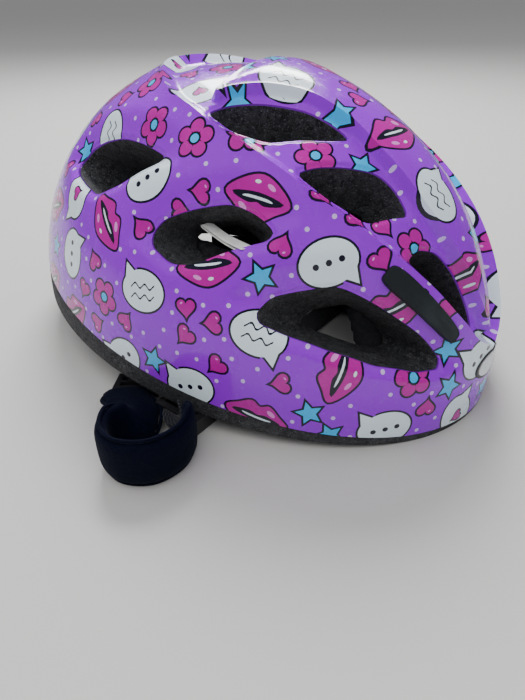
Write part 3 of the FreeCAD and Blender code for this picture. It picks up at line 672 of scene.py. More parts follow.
def near_crease(spots):
    """Which map points lie where the moulded relief turns sharply."""
    points = from_map(spots)[0]
    by_ridge = RIDGE_LINE.distance(points, BAND_LIMIT) < RIDGE_BAND
    return by_ridge | (RIB_LINE.distance(points, BAND_LIMIT) < RIB_BAND)


def near_lip(spots):
    """Which map points lie on or beside a vent's turned-in lip."""
    points = from_map(spots)[0]
    return np.min([line.distance(points, BAND_LIMIT) for line in VENT_LINES.values()], axis=0) < LIP_BAND


def cap_triangles(border, spacing, extra=(), fine=None):
    """Triangles on the map between the border and the vents. extra holds closed lines for them to follow."""
    points = []
    edges = []
    fixed = [border, *LOOPS.values(), *extra]
    for line in fixed:
        start = len(points)
        points.extend(line)
        edges.extend((start + i, start + (i + 1) % len(line)) for i in range(len(line)))
    lines = np.concatenate(fixed)
    grid = grid_over(border, spacing)
    if fine:
        grid = grid[~(near_crease(grid) | near_lip(grid))]
        dense = grid_over(border, fine)
        points.extend(clear_of(dense[near_crease(dense) | near_lip(dense)], lines, fine * 0.5))
    points.extend(clear_of(grid, lines, spacing * 0.5))
    found = delaunay_2d_cdt([Vector(p) for p in points], edges, [], 0, 1e-3)
    spots = np.array([tuple(v) for v in found[0]])
    faces = np.array(found[2])
    middles = spots[faces].mean(1)
    keep = inside(middles, border)
    for loop in LOOPS.values():
        keep &= ~inside(middles, loop)
    faces = faces[keep]
    turned = np.cross(spots[faces[:, 1]] - spots[faces[:, 0]], spots[faces[:, 2]] - spots[faces[:, 0]])
    faces[turned < 0] = faces[turned < 0][:, ::-1]
    faces = faces[np.abs(turned) > 1e-7]
    used = np.unique(faces)
    renumber = np.full(len(spots), -1)
    renumber[used] = np.arange(len(used))
    return spots[used], renumber[faces]


def open_edges(faces):
    """The directed edges that only one face has."""
    pairs = np.concatenate([faces[:, [0, 1]], faces[:, [1, 2]], faces[:, [2, 0]]])
    seen = {(int(a), int(b)) for a, b in pairs}
    return [(a, b) for a, b in seen if (b, a) not in seen]


def new_object(name, points, faces, material, body):
    """A smooth-shaded mesh object in the row frame, in metres, on a body unless none is given."""
    mesh = bpy.data.meshes.new(name)
    mesh.from_pydata([tuple(p) for p in points], [], [tuple(int(i) for i in f) for f in faces])
    mesh.materials.append(material)
    mesh.update()
    mesh.polygons.foreach_set("use_smooth", [True] * len(mesh.polygons))
    made = bpy.data.objects.new(name, mesh)
    bpy.context.scene.collection.objects.link(made)
    if body:
        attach(made, body)
    return made


def tube_faces(rings, count):
    """The four-sided faces that join rings of points, each ring with the same count."""
    faces = []
    for start in range(0, (rings - 1) * count, count):
        for corner in range(count):
            a = start + corner
            b = start + (corner + 1) % count
            faces.append((a, b, b + count, a + count))
    return faces


def face_outwards(piece, weld=False):
    """Turn a piece's faces outwards, after joining the points that coincide where asked."""
    form = bmesh.new()
    form.from_mesh(piece.data)
    if weld:
        bmesh.ops.remove_doubles(form, verts=form.verts, dist=1e-6)
    bmesh.ops.recalc_face_normals(form, faces=form.faces)
    form.to_mesh(piece.data)
    form.free()


# ---------------------------------------------------------------- the print

INK = (0.006, 0.005, 0.02)
VIOLET = (0.33, 0.0, 0.78)
CYAN = (0.02, 0.50, 0.98)
PINK = (0.50, 0.0, 0.33)
ROSE = (0.80, 0.26, 0.72)
PALE = (0.80, 0.93, 1.0)
DOT = (0.70, 0.50, 0.97)
OUTLINE = 0.95


def ring(radius_x, radius_y, count, centre=(0, 0), turn=0.0):
    """An ellipse as points."""
    ways = np.arange(count) / count * math.tau
    loop = np.stack([np.cos(ways) * radius_x, np.sin(ways) * radius_y], -1)
    return loop @ turning(turn).T + np.array(centre)


def turning(angle):
    """A flat rotation matrix."""
    return np.array([[math.cos(angle), -math.sin(angle)], [math.sin(angle), math.cos(angle)]])


def grown(loop, gap):
    """A loop moved outwards by a gap, with mitred corners held in check."""
    ahead = np.roll(loop, -1, 0) - loop
    ahead /= np.linalg.norm(ahead, axis=1, keepdims=True) + 1e-9
    behind = np.roll(ahead, 1, 0)
    out_ahead = np.stack([ahead[:, 1], -ahead[:, 0]], -1)
    out_behind = np.stack([behind[:, 1], -behind[:, 0]], -1)
    middle = out_ahead + out_behind
    middle /= np.linalg.norm(middle, axis=1, keepdims=True) + 1e-9
    spread = np.clip((middle * out_ahead).sum(1), 0.45, 1)
    return loop + middle * (gap / spread)[:, None]


def star_art():
    ways = np.arange(10) / 10 * math.tau + math.tau / 4
    reach = np.where(np.arange(10) % 2 == 0, 5.9, 2.8)
    star = np.stack([np.cos(ways) * reach, np.sin(ways) * reach], -1)
    return [(grown(star, OUTLINE), INK), (star, CYAN)]


def heart_art():
    ways = np.arange(26) / 26 * math.tau
    across = 16 * np.sin(ways) ** 3
    up = 13 * np.cos(ways) - 5 * np.cos(2 * ways) - 2 * np.cos(3 * ways) - np.cos(4 * ways)
    heart = np.stack([across, up], -1)[::-1] * 0.275
    return [(grown(heart, OUTLINE), INK), (heart, PINK), (ring(0.7, 0.4, 10, (-2.1, 1.8), 0.6), ROSE)]


def flower_art():
    art = []
    petals = [(5.2 * math.cos(way), 5.2 * math.sin(way)) for way in np.arange(5) / 5 * math.tau + 0.3]
    for centre in petals:
        art.append((ring(3.1 + OUTLINE, 3.1 + OUTLINE, 18, centre), INK))
    for centre in petals:
        art.append((ring(3.1, 3.1, 16, centre), PINK))
    art.append((ring(2.0 + OUTLINE, 2.0 + OUTLINE, 14), INK))
    art.append((ring(2.0, 2.0, 14), CYAN))
    return art


def lips_art():
    outer = through([(-14, 0), (-9, 4.5), (-4, 8), (0, 6.2), (4, 8), (9, 4.5), (14, 0), (8, -5.5), (0, -8.5),
                     (-8, -5.5)], 4, True)[::-1]
    mouth = through([(-10.5, 0), (-4, 2.0), (0, 1.2), (4, 2.0), (10.5, 0), (0, -1.6)], 4, True)[::-1]
    teeth = through([(-6.5, 0.55), (0, 0.5), (6.5, 0.55), (4, -0.4), (-4, -0.4)], 3, True)[::-1]
    return [(grown(outer, OUTLINE), INK), (outer, PINK), (grown(mouth, 0.4), INK), (teeth, PALE),
            (ring(2.2, 1.1, 12, (5.5, 4.4), -0.5), ROSE), (ring(2.0, 0.9, 12, (-4.5, -4.7), -0.4), ROSE),
            (ring(1.3, 0.7, 10, (1.5, -5.6), 0.1), PALE)]


def bubble_art(marks):
    body = ring(11.6, 9.0, 34)
    tail = np.array([(-9.4, 11.4), (-5.0, 8.2)])
    start = [i for i, point in enumerate(body) if point[1] > 5.4 and -10.0 < point[0] < -5.2]
    before = body[:min(start)]
    after = body[max(start) + 1:]
    shape = np.vstack([before, tail[1:], tail[:1], after])
    art = [(grown(shape, OUTLINE), INK), (shape, PALE)]
    if marks == "dots":
        for across in (-5.2, 0, 5.2):
            art.append((ring(1.25, 1.25, 12, (across, 0)), INK))
    elif marks == "waves":
        for up in (-2.6, 2.0):
            across = np.linspace(-6.6, 6.6, 15)
            line = np.stack([across, up + 1.1 * np.sin(across * 1.15)], -1)
            band = np.vstack([line + (0, -0.42), line[::-1] + (0, 0.42)])
            art.append((band, INK))
    else:
        for loop, color in heart_art()[:2]:
            art.append((loop * 0.72 + np.array((0.4, 0)), color))
    return art


DOT_RADIUS = 1.0
DOT_ART = [(ring(DOT_RADIUS, DOT_RADIUS, 9), DOT)]
BUBBLES = [(bubble_art(marks), 12.4) for marks in ("dots", "waves", "heart")]
LIPS = (lips_art(), 13.0)
FLOWER = (flower_art(), 9.4)
STAR = (star_art(), 6.3)
HEART = (heart_art(), 5.0)
PRINT_GAP = 1.6
BIG_GAP = 3.0
DOT_GAP = 8.6
DOT_CLEAR = 2.2
SPOTS_THROWN = 60000
TRIES = 300


def print_places(border):
    """Where every motif goes: (map spot, turn, art), big motifs first."""
    draw = random.Random(41)
    reach = np.abs(border).max()
    pool = np.array([(draw.uniform(-reach, reach), draw.uniform(-reach, reach)) for _ in range(SPOTS_THROWN)])
    pool = pool[from_map(pool)[0][:, 2] > SHELL_EDGE_Z]
    for loop in LOOPS.values():
        pool = pool[~inside(pool, loop)]
    pool_points = from_map(pool)[0]
    centres = np.full((1, 3), 1e6)
    radii = np.zeros(1)
    placed = []
    wanted = [(BUBBLES[turn % 3], BIG_GAP) for turn in range(42)] + [(LIPS, BIG_GAP)] * 22
    wanted += [(FLOWER, BIG_GAP)] * 26 + [(STAR, PRINT_GAP), (HEART, PRINT_GAP)] * 90
    for (art, radius), gap in wanted:
        picked = [draw.randrange(len(pool)) for _ in range(TRIES)]
        apart = np.linalg.norm(pool_points[picked][:, None] - centres, axis=2)
        free = np.where((apart > radii + radius + gap).all(axis=1))[0]
        if len(free):
            chosen = picked[free[0]]
            centres = np.vstack([centres, pool_points[chosen]])
            radii = np.append(radii, radius)
            placed.append((pool[chosen], draw.uniform(0, math.tau), art))
    solid = len(radii)
    for spot, point in zip(pool, pool_points):
        gaps = np.linalg.norm(centres - point, axis=1)
        near_art = (gaps[:solid] < radii[:solid] + DOT_CLEAR).any()
        if near_art or (gaps[solid:] < DOT_GAP).any():
            continue
        centres = np.vstack([centres, point])
        radii = np.append(radii, DOT_RADIUS)
        placed.append((spot, 0.0, DOT_ART))
    return placed


def print_loops(border):
    """Every painted loop on the map with its colour, in paint order."""
    loops = []
    for spot, turn, art in print_places(border):
        centre, normal = from_map(spot)
        first = np.cross((0, 1, 0), normal)
        first /= np.linalg.norm(first)
        second = np.cross(normal, first)
        for loop, color in art:
            flat = loop @ turning(turn).T
            raised = centre + flat[:, :1] * first + flat[:, 1:] * second
            loops.append((to_map(raised), color))
    return loops


# ---------------------------------------------------------------- shell and foam

SHELL_GRID = 2.1
SHELL_FINE_GRID = 1.1
FOAM_GRID = 4.5
WALL_SHADE = 0.5


def make_shell():
    """The printed shell: a thin moulded film with short walls turned in at the vents and round the rim."""
    border = edge_loop(lambda x: SHELL_EDGE_Z)
    loops = print_loops(border)
    lines = [to_map(RIDGE_3D), to_map(RIB_3D)] + [loop for loop, color in loops]
    spots, faces = cap_triangles(border, SHELL_GRID, lines, SHELL_FINE_GRID)
    points, normals = surface(spots)
    middles = spots[faces].mean(1)
    colors = np.tile(np.array(VIOLET), (len(faces), 1))
    order = np.argsort(middles[:, 0])
    across = middles[order, 0]
    for loop, color in loops:
        first, last = np.searchsorted(across, (loop[:, 0].min(), loop[:, 0].max()))
        reached = order[first:last]
        colors[reached[inside(middles[reached], loop)]] = color
    start = len(points)
    rolled = open_edges(faces)
    rim = sorted({i for pair in rolled for i in pair})
    lower = {vertex: start + index for index, vertex in enumerate(rim)}
    plain = from_map(spots[rim])[1]
    all_points = np.vstack([points, points[rim] - plain * SHELL_WALL])
    walls = []
    for a, b in rolled:
        walls.append((b, a, lower[a]))
        walls.append((b, lower[a], lower[b]))
    all_faces = np.vstack([faces, np.array(walls)])
    face_colors = np.vstack([colors, np.tile(np.array(VIOLET) * WALL_SHADE, (len(walls), 1))])
    shell = new_object("printed_shell", rest(all_points), all_faces, FILM, "helmet")
    mesh = shell.data
    ink = mesh.color_attributes.new("print", "FLOAT_COLOR", "CORNER")
    rgba = np.ones((len(all_faces) * 3, 4), np.float32)
    rgba[:, :3] = np.repeat(face_colors, 3, axis=0)
    ink.data.foreach_set("color", rgba.ravel())
    corners = all_faces.ravel()
    facing = np.vstack([normals, normals[rim]])[corners]
    # by a crease, a corner faces the way that the surface does a little inside its own triangle
    middles_of_corners = np.repeat(middles, 3, axis=0)
    spots_of_corners = spots[faces.ravel()]
    sharp = np.where(near_crease(spots_of_corners))[0]
    moved = spots_of_corners[sharp] * 0.7 + middles_of_corners[sharp] * 0.3
    facing[sharp] = surface(moved, step=0.02)[1]
    mesh.normals_split_custom_set([tuple(way) for way in facing @ TIP.T])
    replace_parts(shell, "outer_shell")


VENT_TAPER = 0.58
VENT_TAPER_REACH = 12.0
CREASE_INSET = 2.6
VENT_MARGIN = 1.0
FOAM_SHOWS_BELOW = SHELL_EDGE_Z + 0.6
FOAM_SHOWS_INSET = 0.15
RIM_BELOW = 15
RIM_ROUNDING = 1.2


def into_head(point, way):
    """Where a line from a point meets the head space."""
    start = (point - HEAD_CENTRE) / HEAD
    step = way / HEAD
    a = step @ step
    b = 2 * start @ step
    c = start @ start - 1
    return point + way * (-b - math.sqrt(max(b * b - 4 * a * c, 0))) / (2 * a)


def foam_level(x):
    """The height of the foam's rim at x."""
    share = (x - (DOME_CENTRE[0] - DOME[0])) / (2 * DOME[0])
    return -8 + 15 * share


def make_foam():
    """The foam liner: under the shell, through the vents to the head space, and round the rim."""
    border = edge_loop(foam_level)
    spots, faces = cap_triangles(border, FOAM_GRID)
    plain, normal = from_map(spots)
    to_vent = np.min([line.distance(plain) for line in VENT_LINES.values()], axis=0)
    inset = np.where(near_crease(spots) & (to_vent > VENT_MARGIN), CREASE_INSET, SHELL_WALL)
    outer = surface(spots)[0] - normal * inset[:, None]
    below = outer[:, 2] < FOAM_SHOWS_BELOW
    outer[below] = (plain + normal * relief(plain)[:, None] - normal * FOAM_SHOWS_INSET)[below]
    rays = outer - HEAD_CENTRE
    for name, line in VENT_LINES.items():
        way = WAYS[name]
        middle = line.middle
        offset = outer - middle
        straight = offset - way * (offset @ way)[:, None]
        target = into_head(middle, -way) + straight * VENT_TAPER - HEAD_CENTRE
        target *= (np.linalg.norm(rays, axis=1) / np.linalg.norm(target, axis=1))[:, None]
        pull = (1 - smooth(line.distance(plain) / VENT_TAPER_REACH))[:, None]
        rays = rays * (1 - pull) + target * pull
    inner = HEAD_CENTRE + rays / np.linalg.norm(rays / HEAD, axis=1, keepdims=True)
    count = len(outer)
    points = [outer, inner]
    total = 2 * count
    all_faces = [faces, faces[:, ::-1] + count]
    rim = open_edges(faces)
    members = sorted({i for pair in rim for i in pair})
    on_border = {i for i in members if plain[i, 2] < RIM_BELOW}
    shares = (0.03, 0.10, 0.30, 0.55, 0.80, 0.94)
    chains = {}
    for vertex in members:
        chain = [vertex]
        for share in shares:
            point = outer[vertex] * (1 - share) + inner[vertex] * share
            round_off = math.sin(math.pi * share) ** 0.5
            if vertex in on_border:
                point = point + np.array([0, 0, -RIM_ROUNDING * round_off])
            points.append(point[None])
            chain.append(total)
            total += 1
        chain.append(vertex + count)
        chains[vertex] = chain
    walls = []
    for a, b in rim:
        for step in range(len(shares) + 1):
            p, q = chains[a][step], chains[b][step]
            r, s = chains[a][step + 1], chains[b][step + 1]
            walls.append((q, p, r))
            walls.append((q, r, s))
    all_faces.append(np.array(walls))
    placed = rest(np.vstack(points))
    # the rim doesn't reach below the floor
    placed[:, 2] = np.maximum(placed[:, 2], 0.0)
    foam = new_object("foam_liner", placed, np.vstack(all_faces), FOAM, "helmet")
    sharp_edges(foam, 50)
    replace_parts(foam, "eps_liner")


def sharp_edges(piece, degrees):
    """Mark the edges that turn by more than an angle as sharp."""
    mesh = piece.data
    form = bmesh.new()
    form.from_mesh(mesh)
    limit = math.radians(degrees)
    for edge in form.edges:
        if len(edge.link_faces) == 2 and edge.calc_face_angle(0) > limit:
            edge.smooth = False
    form.to_mesh(mesh)
    form.free()


make_shell()
make_foam()


# ---------------------------------------------------------------- helpers for the other pieces

def unit(vectors):
    """Vectors of length 1."""
    vectors = np.asarray(vectors, float)
    return vectors / (np.linalg.norm(vectors, axis=-1, keepdims=True) + 1e-12)


def even_path(points, spacing):
    """A smooth open line through points, with points at an even spacing."""
    line = through(points, 24)
    lengths = np.concatenate([[0], np.cumsum(np.linalg.norm(np.diff(line[:, :3], axis=0), axis=1))])
    count = max(3, int(round(lengths[-1] / spacing)) + 1)
    marks = np.linspace(0, lengths[-1], count)
    return np.stack([np.interp(marks, lengths, line[:, axis]) for axis in range(line.shape[1])], -1), marks


def section(half_width, half_wall, power, count=20):
    """A rounded flat cross-section: across the width, then through the thickness."""
    ways = np.arange(count) / count * math.tau
    x = np.sign(np.cos(ways)) * np.abs(np.cos(ways)) ** (2 / power) * half_width
    y = np.sign(np.sin(ways)) * np.abs(np.sin(ways)) ** (2 / power) * half_wall
    return np.stack([x, y], -1)


TAPER_LENGTH = 5.0


def swept(name, path, wide, shape, material, body, spacing=1.5, taper=0.0):
    """A band swept along a path, its width along the given directions, in millimetres of the row frame."""
    line, marks = even_path(np.hstack([path, unit(wide)]), spacing)
    middle = line[:, :3]
    along = unit(np.gradient(middle, axis=0))
    across = line[:, 3:]
    across = unit(across - along * (across * along).sum(1, keepdims=True))
    face = np.cross(along, across)
    ends = np.minimum(marks, marks[-1] - marks)
    size = 1 - taper * (1 - smooth(ends / TAPER_LENGTH))
    count = len(shape)
    rings = (middle[:, None] + across[:, None] * (shape[None, :, :1] * size[:, None, None])
             + face[:, None] * (shape[None, :, 1:] * size[:, None, None]))
    faces = tube_faces(len(middle), count)
    last = (len(middle) - 1) * count
    faces.append(tuple(range(count))[::-1])
    faces.append(tuple(range(last, last + count)))
    made = new_object(name, rings.reshape(-1, 3) * MM, faces, material, body)
    layer = made.data.uv_layers.new(name="cloth")
    spread = np.concatenate([np.stack([shape[:, 0], np.full(count, mark)], -1) for mark in marks]) * MM
    corners = np.empty(len(made.data.loops), int)
    made.data.loops.foreach_get("vertex_index", corners)
    layer.data.foreach_set("uv", spread[corners].ravel())
    face_outwards(made)
    return made


def settle(piece):
    """Replace a piece's mesh by what its modifiers make of it, and drop the modifiers."""
    reader = bpy.context.evaluated_depsgraph_get()
    mesh = bpy.data.meshes.new_from_object(piece.evaluated_get(reader))
    piece.modifiers.clear()
    piece.data = mesh


def points_of(piece):
    """A mesh's points as an array."""
    out = np.empty(len(piece.data.vertices) * 3)
    piece.data.vertices.foreach_get("co", out)
    return out.reshape(-1, 3)


PRESSURE = 4
CLOTH_FRAMES = 20


def puff(pieces):
    """Blow the pieces up as cloth, each by no more than its own limit. pieces holds (piece, voxel, limit)."""
    starts = []
    for piece, voxel, _ in pieces:
        remesh = piece.modifiers.new("remesh", "REMESH")
        remesh.mode = "VOXEL"
        remesh.voxel_size = voxel
        settle(piece)
        starts.append(points_of(piece))
        cloth = piece.modifiers.new("cloth", "CLOTH")
        cloth.settings.use_pressure = True
        cloth.settings.uniform_pressure_force = PRESSURE
        cloth.settings.effector_weights.gravity = 0
    scene = bpy.context.scene
    for step in range(1, CLOTH_FRAMES + 1):
        scene.frame_set(step)
    for (piece, _, limit), before in zip(pieces, starts):
        settle(piece)
        moved = points_of(piece) - before
        far = np.linalg.norm(moved, axis=1, keepdims=True)
        kept = before + moved * np.minimum(1, limit / np.maximum(far, 1e-9))
        piece.data.vertices.foreach_set("co", kept.ravel())
        smoother = piece.modifiers.new("smoother", "SUBSURF")
        smoother.levels = 1
        smoother.render_levels = 1
        settle(piece)
        piece.data.polygons.foreach_set("use_smooth", [True] * len(piece.data.polygons))
    scene.frame_set(1)


def shrunk_copy(node, name, inset, material):
    """A copy of a CAD solid, a little smaller all round, that stands for it."""
    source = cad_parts[node]
    form = bmesh.new()
    form.from_mesh(source.data)
    form.transform(source.matrix_world)
    bmesh.ops.remove_doubles(form, verts=form.verts, dist=1e-6)
    form.normal_update()
    for vert in form.verts:
        vert.co -= vert.normal * inset
    mesh = bpy.data.meshes.new(name)
    form.to_mesh(mesh)
    form.free()
    mesh.materials.append(material)
    piece = bpy.data.objects.new(name, mesh)
    bpy.context.scene.collection.objects.link(piece)
    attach(piece, "helmet")
    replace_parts(piece, node)
    return piece


# ---------------------------------------------------------------- pads

PAD_INSET = 0.0007
PAD_VOXEL = 0.0016
PAD_SWELL = 0.0009
CHIN_VOXEL = 0.002
CHIN_SWELL = 0.0012
# the chin pad's folded route over the floor, and the way its width points at each place
CHIN_PATH = np.array([
    (-3, -97, 5.5), (6, -103.5, 8), (16.5, -107.5, 10), (24, -114.5, 11.6), (21, -125, 12.6),
    (27, -133, 12.6), (38, -134.5, 12.6), (48.5, -127, 12.6), (51.5, -114, 12.6), (46.5, -103.5, 12.4),
    (38, -98, 11)])
CHIN_WIDE = np.array([
    (-0.64, -0.76, 0.05), (-0.62, -0.75, 0.12), (-0.6, -0.68, 0.3), (-0.5, -0.3, 0.75), (-0.1, 0, 1),
    (0, 0, 1), (0, 0, 1), (0, 0, 1), (0, 0, 1), (0, 0, 1), (0.2, 0, 1)])
PIPING_REACH = 11.5
PIPING_END_REACH = 7.5


def make_pads():
    """The comfort pads, the nape pad and the chin pad, blown up as stitched foam."""
    puffed = []
    for node in ("pad_front", "pad_crown", "pad_rear", "pad_side_left", "pad_side_right", "nape_pad"):
        piece = shrunk_copy(node, "soft_" + node, PAD_INSET, PADDING)
        puffed.append((piece, PAD_VOXEL, PAD_SWELL))
    chin = swept("soft_chin_pad", CHIN_PATH, CHIN_WIDE, section(11.0, 2.8, 3.0), CHIN_KNIT, "helmet",
                 2.0, 0.3)
    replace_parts(chin, "chin_pad")
    puffed.append((chin, CHIN_VOXEL, CHIN_SWELL))
    puff(puffed)
    rim = section(0.8, 0.8, 2.0, 10)
    reach = np.full((len(CHIN_PATH), 1), PIPING_REACH)
    reach[[0, -1]] = PIPING_END_REACH
    for side, name in ((1, "upper"), (-1, "lower")):
        line = CHIN_PATH + unit(CHIN_WIDE) * side * reach
        swept("chin_pad_piping_" + name, line, CHIN_WIDE, rim, CHIN_KNIT, "helmet", 2.0)


make_pads()


# ---------------------------------------------------------------- head ring

RING_CENTRE_X = 2.0
RING_MIDDLE = (97.2, 70.2)
ARM_POINTS = 12
ARM = section(6.0, 0.8, 6.0, 24)


def make_ring_arms():
    """The arms of the head ring, each swept along the ring's curve over the length of its CAD arm and left on
    no body.
    """
    for side, name in ((1, "left"), (-1, "right")):
        low, high = (np.array(corner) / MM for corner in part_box("ring_arm_" + name))
        x = np.linspace(high[0], low[0], ARM_POINTS)
        y = side * RING_MIDDLE[1] * np.sqrt(1 - ((x - RING_CENTRE_X) / RING_MIDDLE[0]) ** 2)
        path = np.stack([x, y, np.full(len(x), (low[2] + high[2]) / 2)], -1)
        upright = np.array([(0, 0, 1)] * len(x), float)
        arm = swept("ring_arm_flex_" + name, path, upright, ARM, RING, None, 2.0)
        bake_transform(arm)
        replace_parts(arm, "ring_arm_" + name)


make_ring_arms()


# ---------------------------------------------------------------- webbing

WEB = section(7.5, 0.7, 7.0, 24)


def centre(node):
    """The middle of a CAD node, in millimetres."""
    low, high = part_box(node)
    return np.array((low + high) / 2) / MM


# the right chin strap's route over the floor, and the way its width points at each place
CHIN_RIGHT_PATH = ((-22, -51, 6.2), (-21, -56, 4.4), (-17.5, -63, 2.0), (-11, -73, 1.4), (-6.2, -81, 2.4),
                   (-3.6, -86.5, 3.4), (-2.2, -90, 2.2), (0.5, -95, 4.6))
CHIN_RIGHT_WIDE = ((1, 0, 0), (1, 0.1, 0), (1, 0.4, 0), (1, 0.6, 0), (1, 0.62, 0), (1, 0.64, 0), (1, 0.65, 0),
                   (1, 0.7, 0.1))
BUCKLE_LOOP_PATH = ((36, -98, 10), (33, -97, 7.5), (30, -95.2, 5), (30, -93.4, 3))
BUCKLE_LOOP_WIDE = ((0.3, 0, 1), (0.8, 0, 0.6), (1, 0, 0.1), (1, 0, 0))
SLOT_REACH = 12.5
SLOT_HEIGHT = 9.2


def web(name, path, wide, body="helmet", shape=WEB, spacing=1.5):
    """A length of webbing along a path, in millimetres of the row frame."""
    return swept(name, np.array(path, float), np.array(wide, float), shape, WEBBING, body, spacing)


def make_webbing():
    """The straps: from the anchors down through the divider slots, and the two chin straps."""
    for side, name in ((1, "left"), (-1, "right")):
        divider = centre("divider_" + name)
        for step, where in ((1, "front"), (-1, "rear")):
            end = where + "_" + name
            top = centre("strap_anchor_" + end) + np.array([0, -side * 5.5, -1])
            foot = np.array([divider[0] + step * SLOT_REACH, divider[1], SLOT_HEIGHT])
            middle = (top + foot) / 2 + np.array([0, -side * 2.5, -2.0])
            path = [top + (0, side * 1.5, 3), top, middle, foot + (step * 2.5, 0, 5.5), foot,
                    foot + (-step * 0.5, 0, -3.8)]
            lean = (0.9, side * 0.25, 0) if where == "front" else (0.7, 0.5, 0)
            wide = [(1, 0, 0), (1, 0, 0), lean, (step * 0.15, 1, 0), (0, 1, 0), (0, 1, 0)]
            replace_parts(web("web_" + end, path, wide), "strap_" + end)
    low, high = (np.array(corner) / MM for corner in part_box("chin_strap_left"))
    x = (low[0] + high[0]) / 2
    z = (low[2] + high[2]) / 2
    path = [(x, low[1], z), (x, 0, z), (x, high[1], z)]
    strap = web("web_chin_left", path, [(1, 0, 0)] * 3, "tongue", spacing=2.5)
    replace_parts(strap, "chin_strap_left")
    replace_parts(web("web_chin_right", CHIN_RIGHT_PATH, CHIN_RIGHT_WIDE), "chin_strap_right")
    web("web_buckle_loop", BUCKLE_LOOP_PATH, BUCKLE_LOOP_WIDE, shape=WEB * np.array([0.95, 1]))


make_webbing()


# ---------------------------------------------------------------- trim

def to_level(points):
    """Row frame points in millimetres to the level helmet frame."""
    moved = np.asarray(points, float) - (0, 0, REST_LIFT)
    return moved @ TIP


# the ends of one insert in plan, and its rings from the edge inwards: share of its size, and height
INSERT_REAR = (90.0, -41.5)
INSERT_FRONT = (114.5, -27.0)
INSERT_HALF_LENGTH = 21.5
INSERT_HALF_WIDTH = 4.9
INSERT_NARROWING = 1.3
INSERT_RINGS = ((1.0, -0.8), (1.0, 0.6), (0.985, 1.1), (0.95, 1.55), (0.90, 1.75), (0.80, 1.6), (0.72, 1.6),
                (0.5, 1.7), (0.25, 1.75))
INSERT_POINTS = 64


def make_insert(side, name):
    """A rubber insert beside the ridge: a low bar with a bevelled edge and a shallow groove inside it."""
    rear, front = on_dome(np.array([INSERT_REAR, INSERT_FRONT]) * (1, side))
    middle = (rear + front) / 2
    way = unit((middle - DOME_CENTRE) / DOME ** 2)
    along = front - rear
    along = unit(along - way * (along @ way))
    across = np.cross(way, along)
    ways = np.arange(INSERT_POINTS) / INSERT_POINTS * math.tau
    x = np.sign(np.cos(ways)) * np.abs(np.cos(ways)) ** 0.35
    y = np.sign(np.sin(ways)) * np.abs(np.sin(ways)) ** 0.45
    half = INSERT_HALF_WIDTH - INSERT_NARROWING * (x + 1) / 2
    points = []
    for share, height in INSERT_RINGS:
        inset = (1 - share) * INSERT_HALF_LENGTH * 0.2
        reach_x = x * (INSERT_HALF_LENGTH - inset)
        reach_y = y * (half - np.minimum(inset, half * (1 - share)))
        flat = middle + along * reach_x[:, None] + across * reach_y[:, None]
        base, normal = from_map(to_map(flat))
        points.append(base + normal * height)
    points.append(from_map(to_map(middle[None]))[0] + way * INSERT_RINGS[-1][1])
    faces = tube_faces(len(INSERT_RINGS), INSERT_POINTS)
    tip = len(INSERT_RINGS) * INSERT_POINTS
    last = tip - INSERT_POINTS
    faces += [(last + corner, last + (corner + 1) % INSERT_POINTS, tip) for corner in range(INSERT_POINTS)]
    made = new_object("rubber_insert_" + name, rest(np.vstack(points)), faces, RUBBER, "helmet")
    face_outwards(made)
    sharp_edges(made, 40)
    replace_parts(made, "front_insert_" + name)


# a known fault: side 1 is the wearer's right, so these two names are the wrong way round
make_insert(1, "left")
make_insert(-1, "right")


LABEL_GAP = 0.55
LABEL_FOLD = np.array([12.0, -60.5, 72.0])
LABEL_FREE_END = np.array([39.5, -68.0, 75.0])


def make_label():
    """The woven label: one tape folded back on itself, lying across the side vent with its fold inwards."""
    fold = LABEL_FOLD
    free = LABEL_FREE_END
    across = unit(np.array([0.25, -0.8, 0.1]))
    up = unit(np.cross(free - fold, across))
    lift = up * LABEL_GAP
    halfway = (fold + free) / 2 + up * 0.8
    path = [free - lift * 1.3, halfway - lift, fold - lift, fold + unit(fold - free), fold + lift,
            halfway + lift, free + lift * 1.6]
    tape = swept("woven_label", rest(np.array(path)) / MM, np.array([across @ TIP.T] * len(path)),
                 section(2.9, 0.22, 6.0, 20), LABEL, "helmet", 0.8)
    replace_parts(tape, "care_label")


make_label()


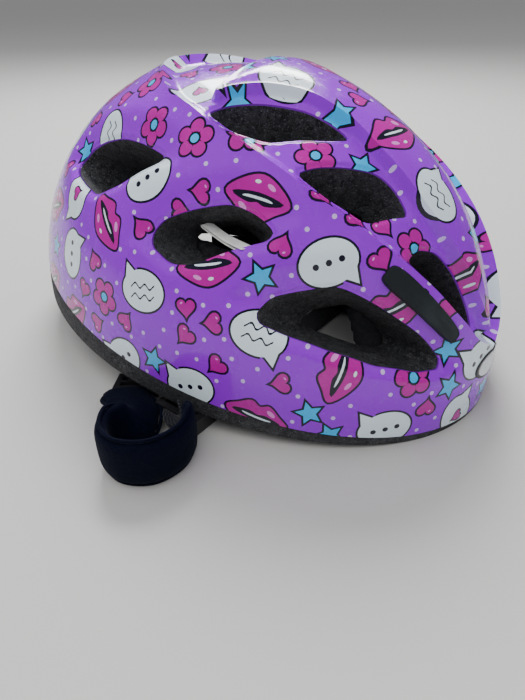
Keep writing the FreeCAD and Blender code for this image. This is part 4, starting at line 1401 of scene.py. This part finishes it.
BADGE_HALF_WIDE = 13.0
BADGE_HALF_HIGH = 6.5
BADGE_BORDER_RINGS = 3
BADGE_RINGS = ((1.0, -0.4), (1.0, 0.45), (0.96, 0.6), (0.84, 0.6), (0.82, 0.5), (0.5, 0.5), (0.2, 0.5))


def make_badge():
    """The blank oval badge on the brow: a pale plate with a dark border, bent to the shell."""
    middle = from_map(to_map(to_level(centre("front_badge"))[None]))[0][0]
    way = unit((middle - DOME_CENTRE) / DOME ** 2)
    across = unit(np.cross((0, 0, 1), way))
    up = np.cross(way, across)
    oval = ring(BADGE_HALF_WIDE, BADGE_HALF_HIGH, 64)
    count = len(oval)
    points = []
    for share, height in BADGE_RINGS + ((0.0, 0.5),):
        flat = middle + across * oval[:, :1] * share + up * oval[:, 1:] * share
        spots = to_map(flat)
        points.append(surface(spots)[0] + from_map(spots)[1] * height)
    faces = tube_faces(len(BADGE_RINGS) + 1, count)
    badge = new_object("blank_badge", rest(np.vstack(points)), faces, BADGE_FACE, "helmet")
    badge.data.materials.append(BLACK)
    for face in badge.data.polygons:
        face.material_index = 1 if face.index < BADGE_BORDER_RINGS * count else 0
    face_outwards(badge, weld=True)
    sharp_edges(badge, 40)
    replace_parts(badge, "front_badge")


make_badge()


# ---------------------------------------------------------------- the CAD pieces that stay as they are

CAD_MATERIALS = (
    (BLACK, ("strap_anchor_front_left", "strap_anchor_front_right", "strap_anchor_rear_left",
             "strap_anchor_rear_right", "ring_pins", "cradle_housing", "cradle_cover", "divider_left",
             "divider_right", "divider_lever_left", "divider_lever_right", "strap_slider", "buckle_socket")),
    (STEEL, ("dial_screw", "cradle_screws", "detent_spring", "lever_pins")),
    (GEAR, ("dial_pinion", "rack_left", "rack_right")),
    (HOOKS, ("hook_patches",)),
    (RING, ("ring_band",)),
    (DIAL, ("dial_knob",)),
    (MAGENTA, ("buckle_tongue",)),
    (RUBBER, ("strap_keeper",)),
)
for material, nodes in CAD_MATERIALS:
    for node in nodes:
        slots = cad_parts[node].data.materials
        slots.clear()
        slots.append(material)
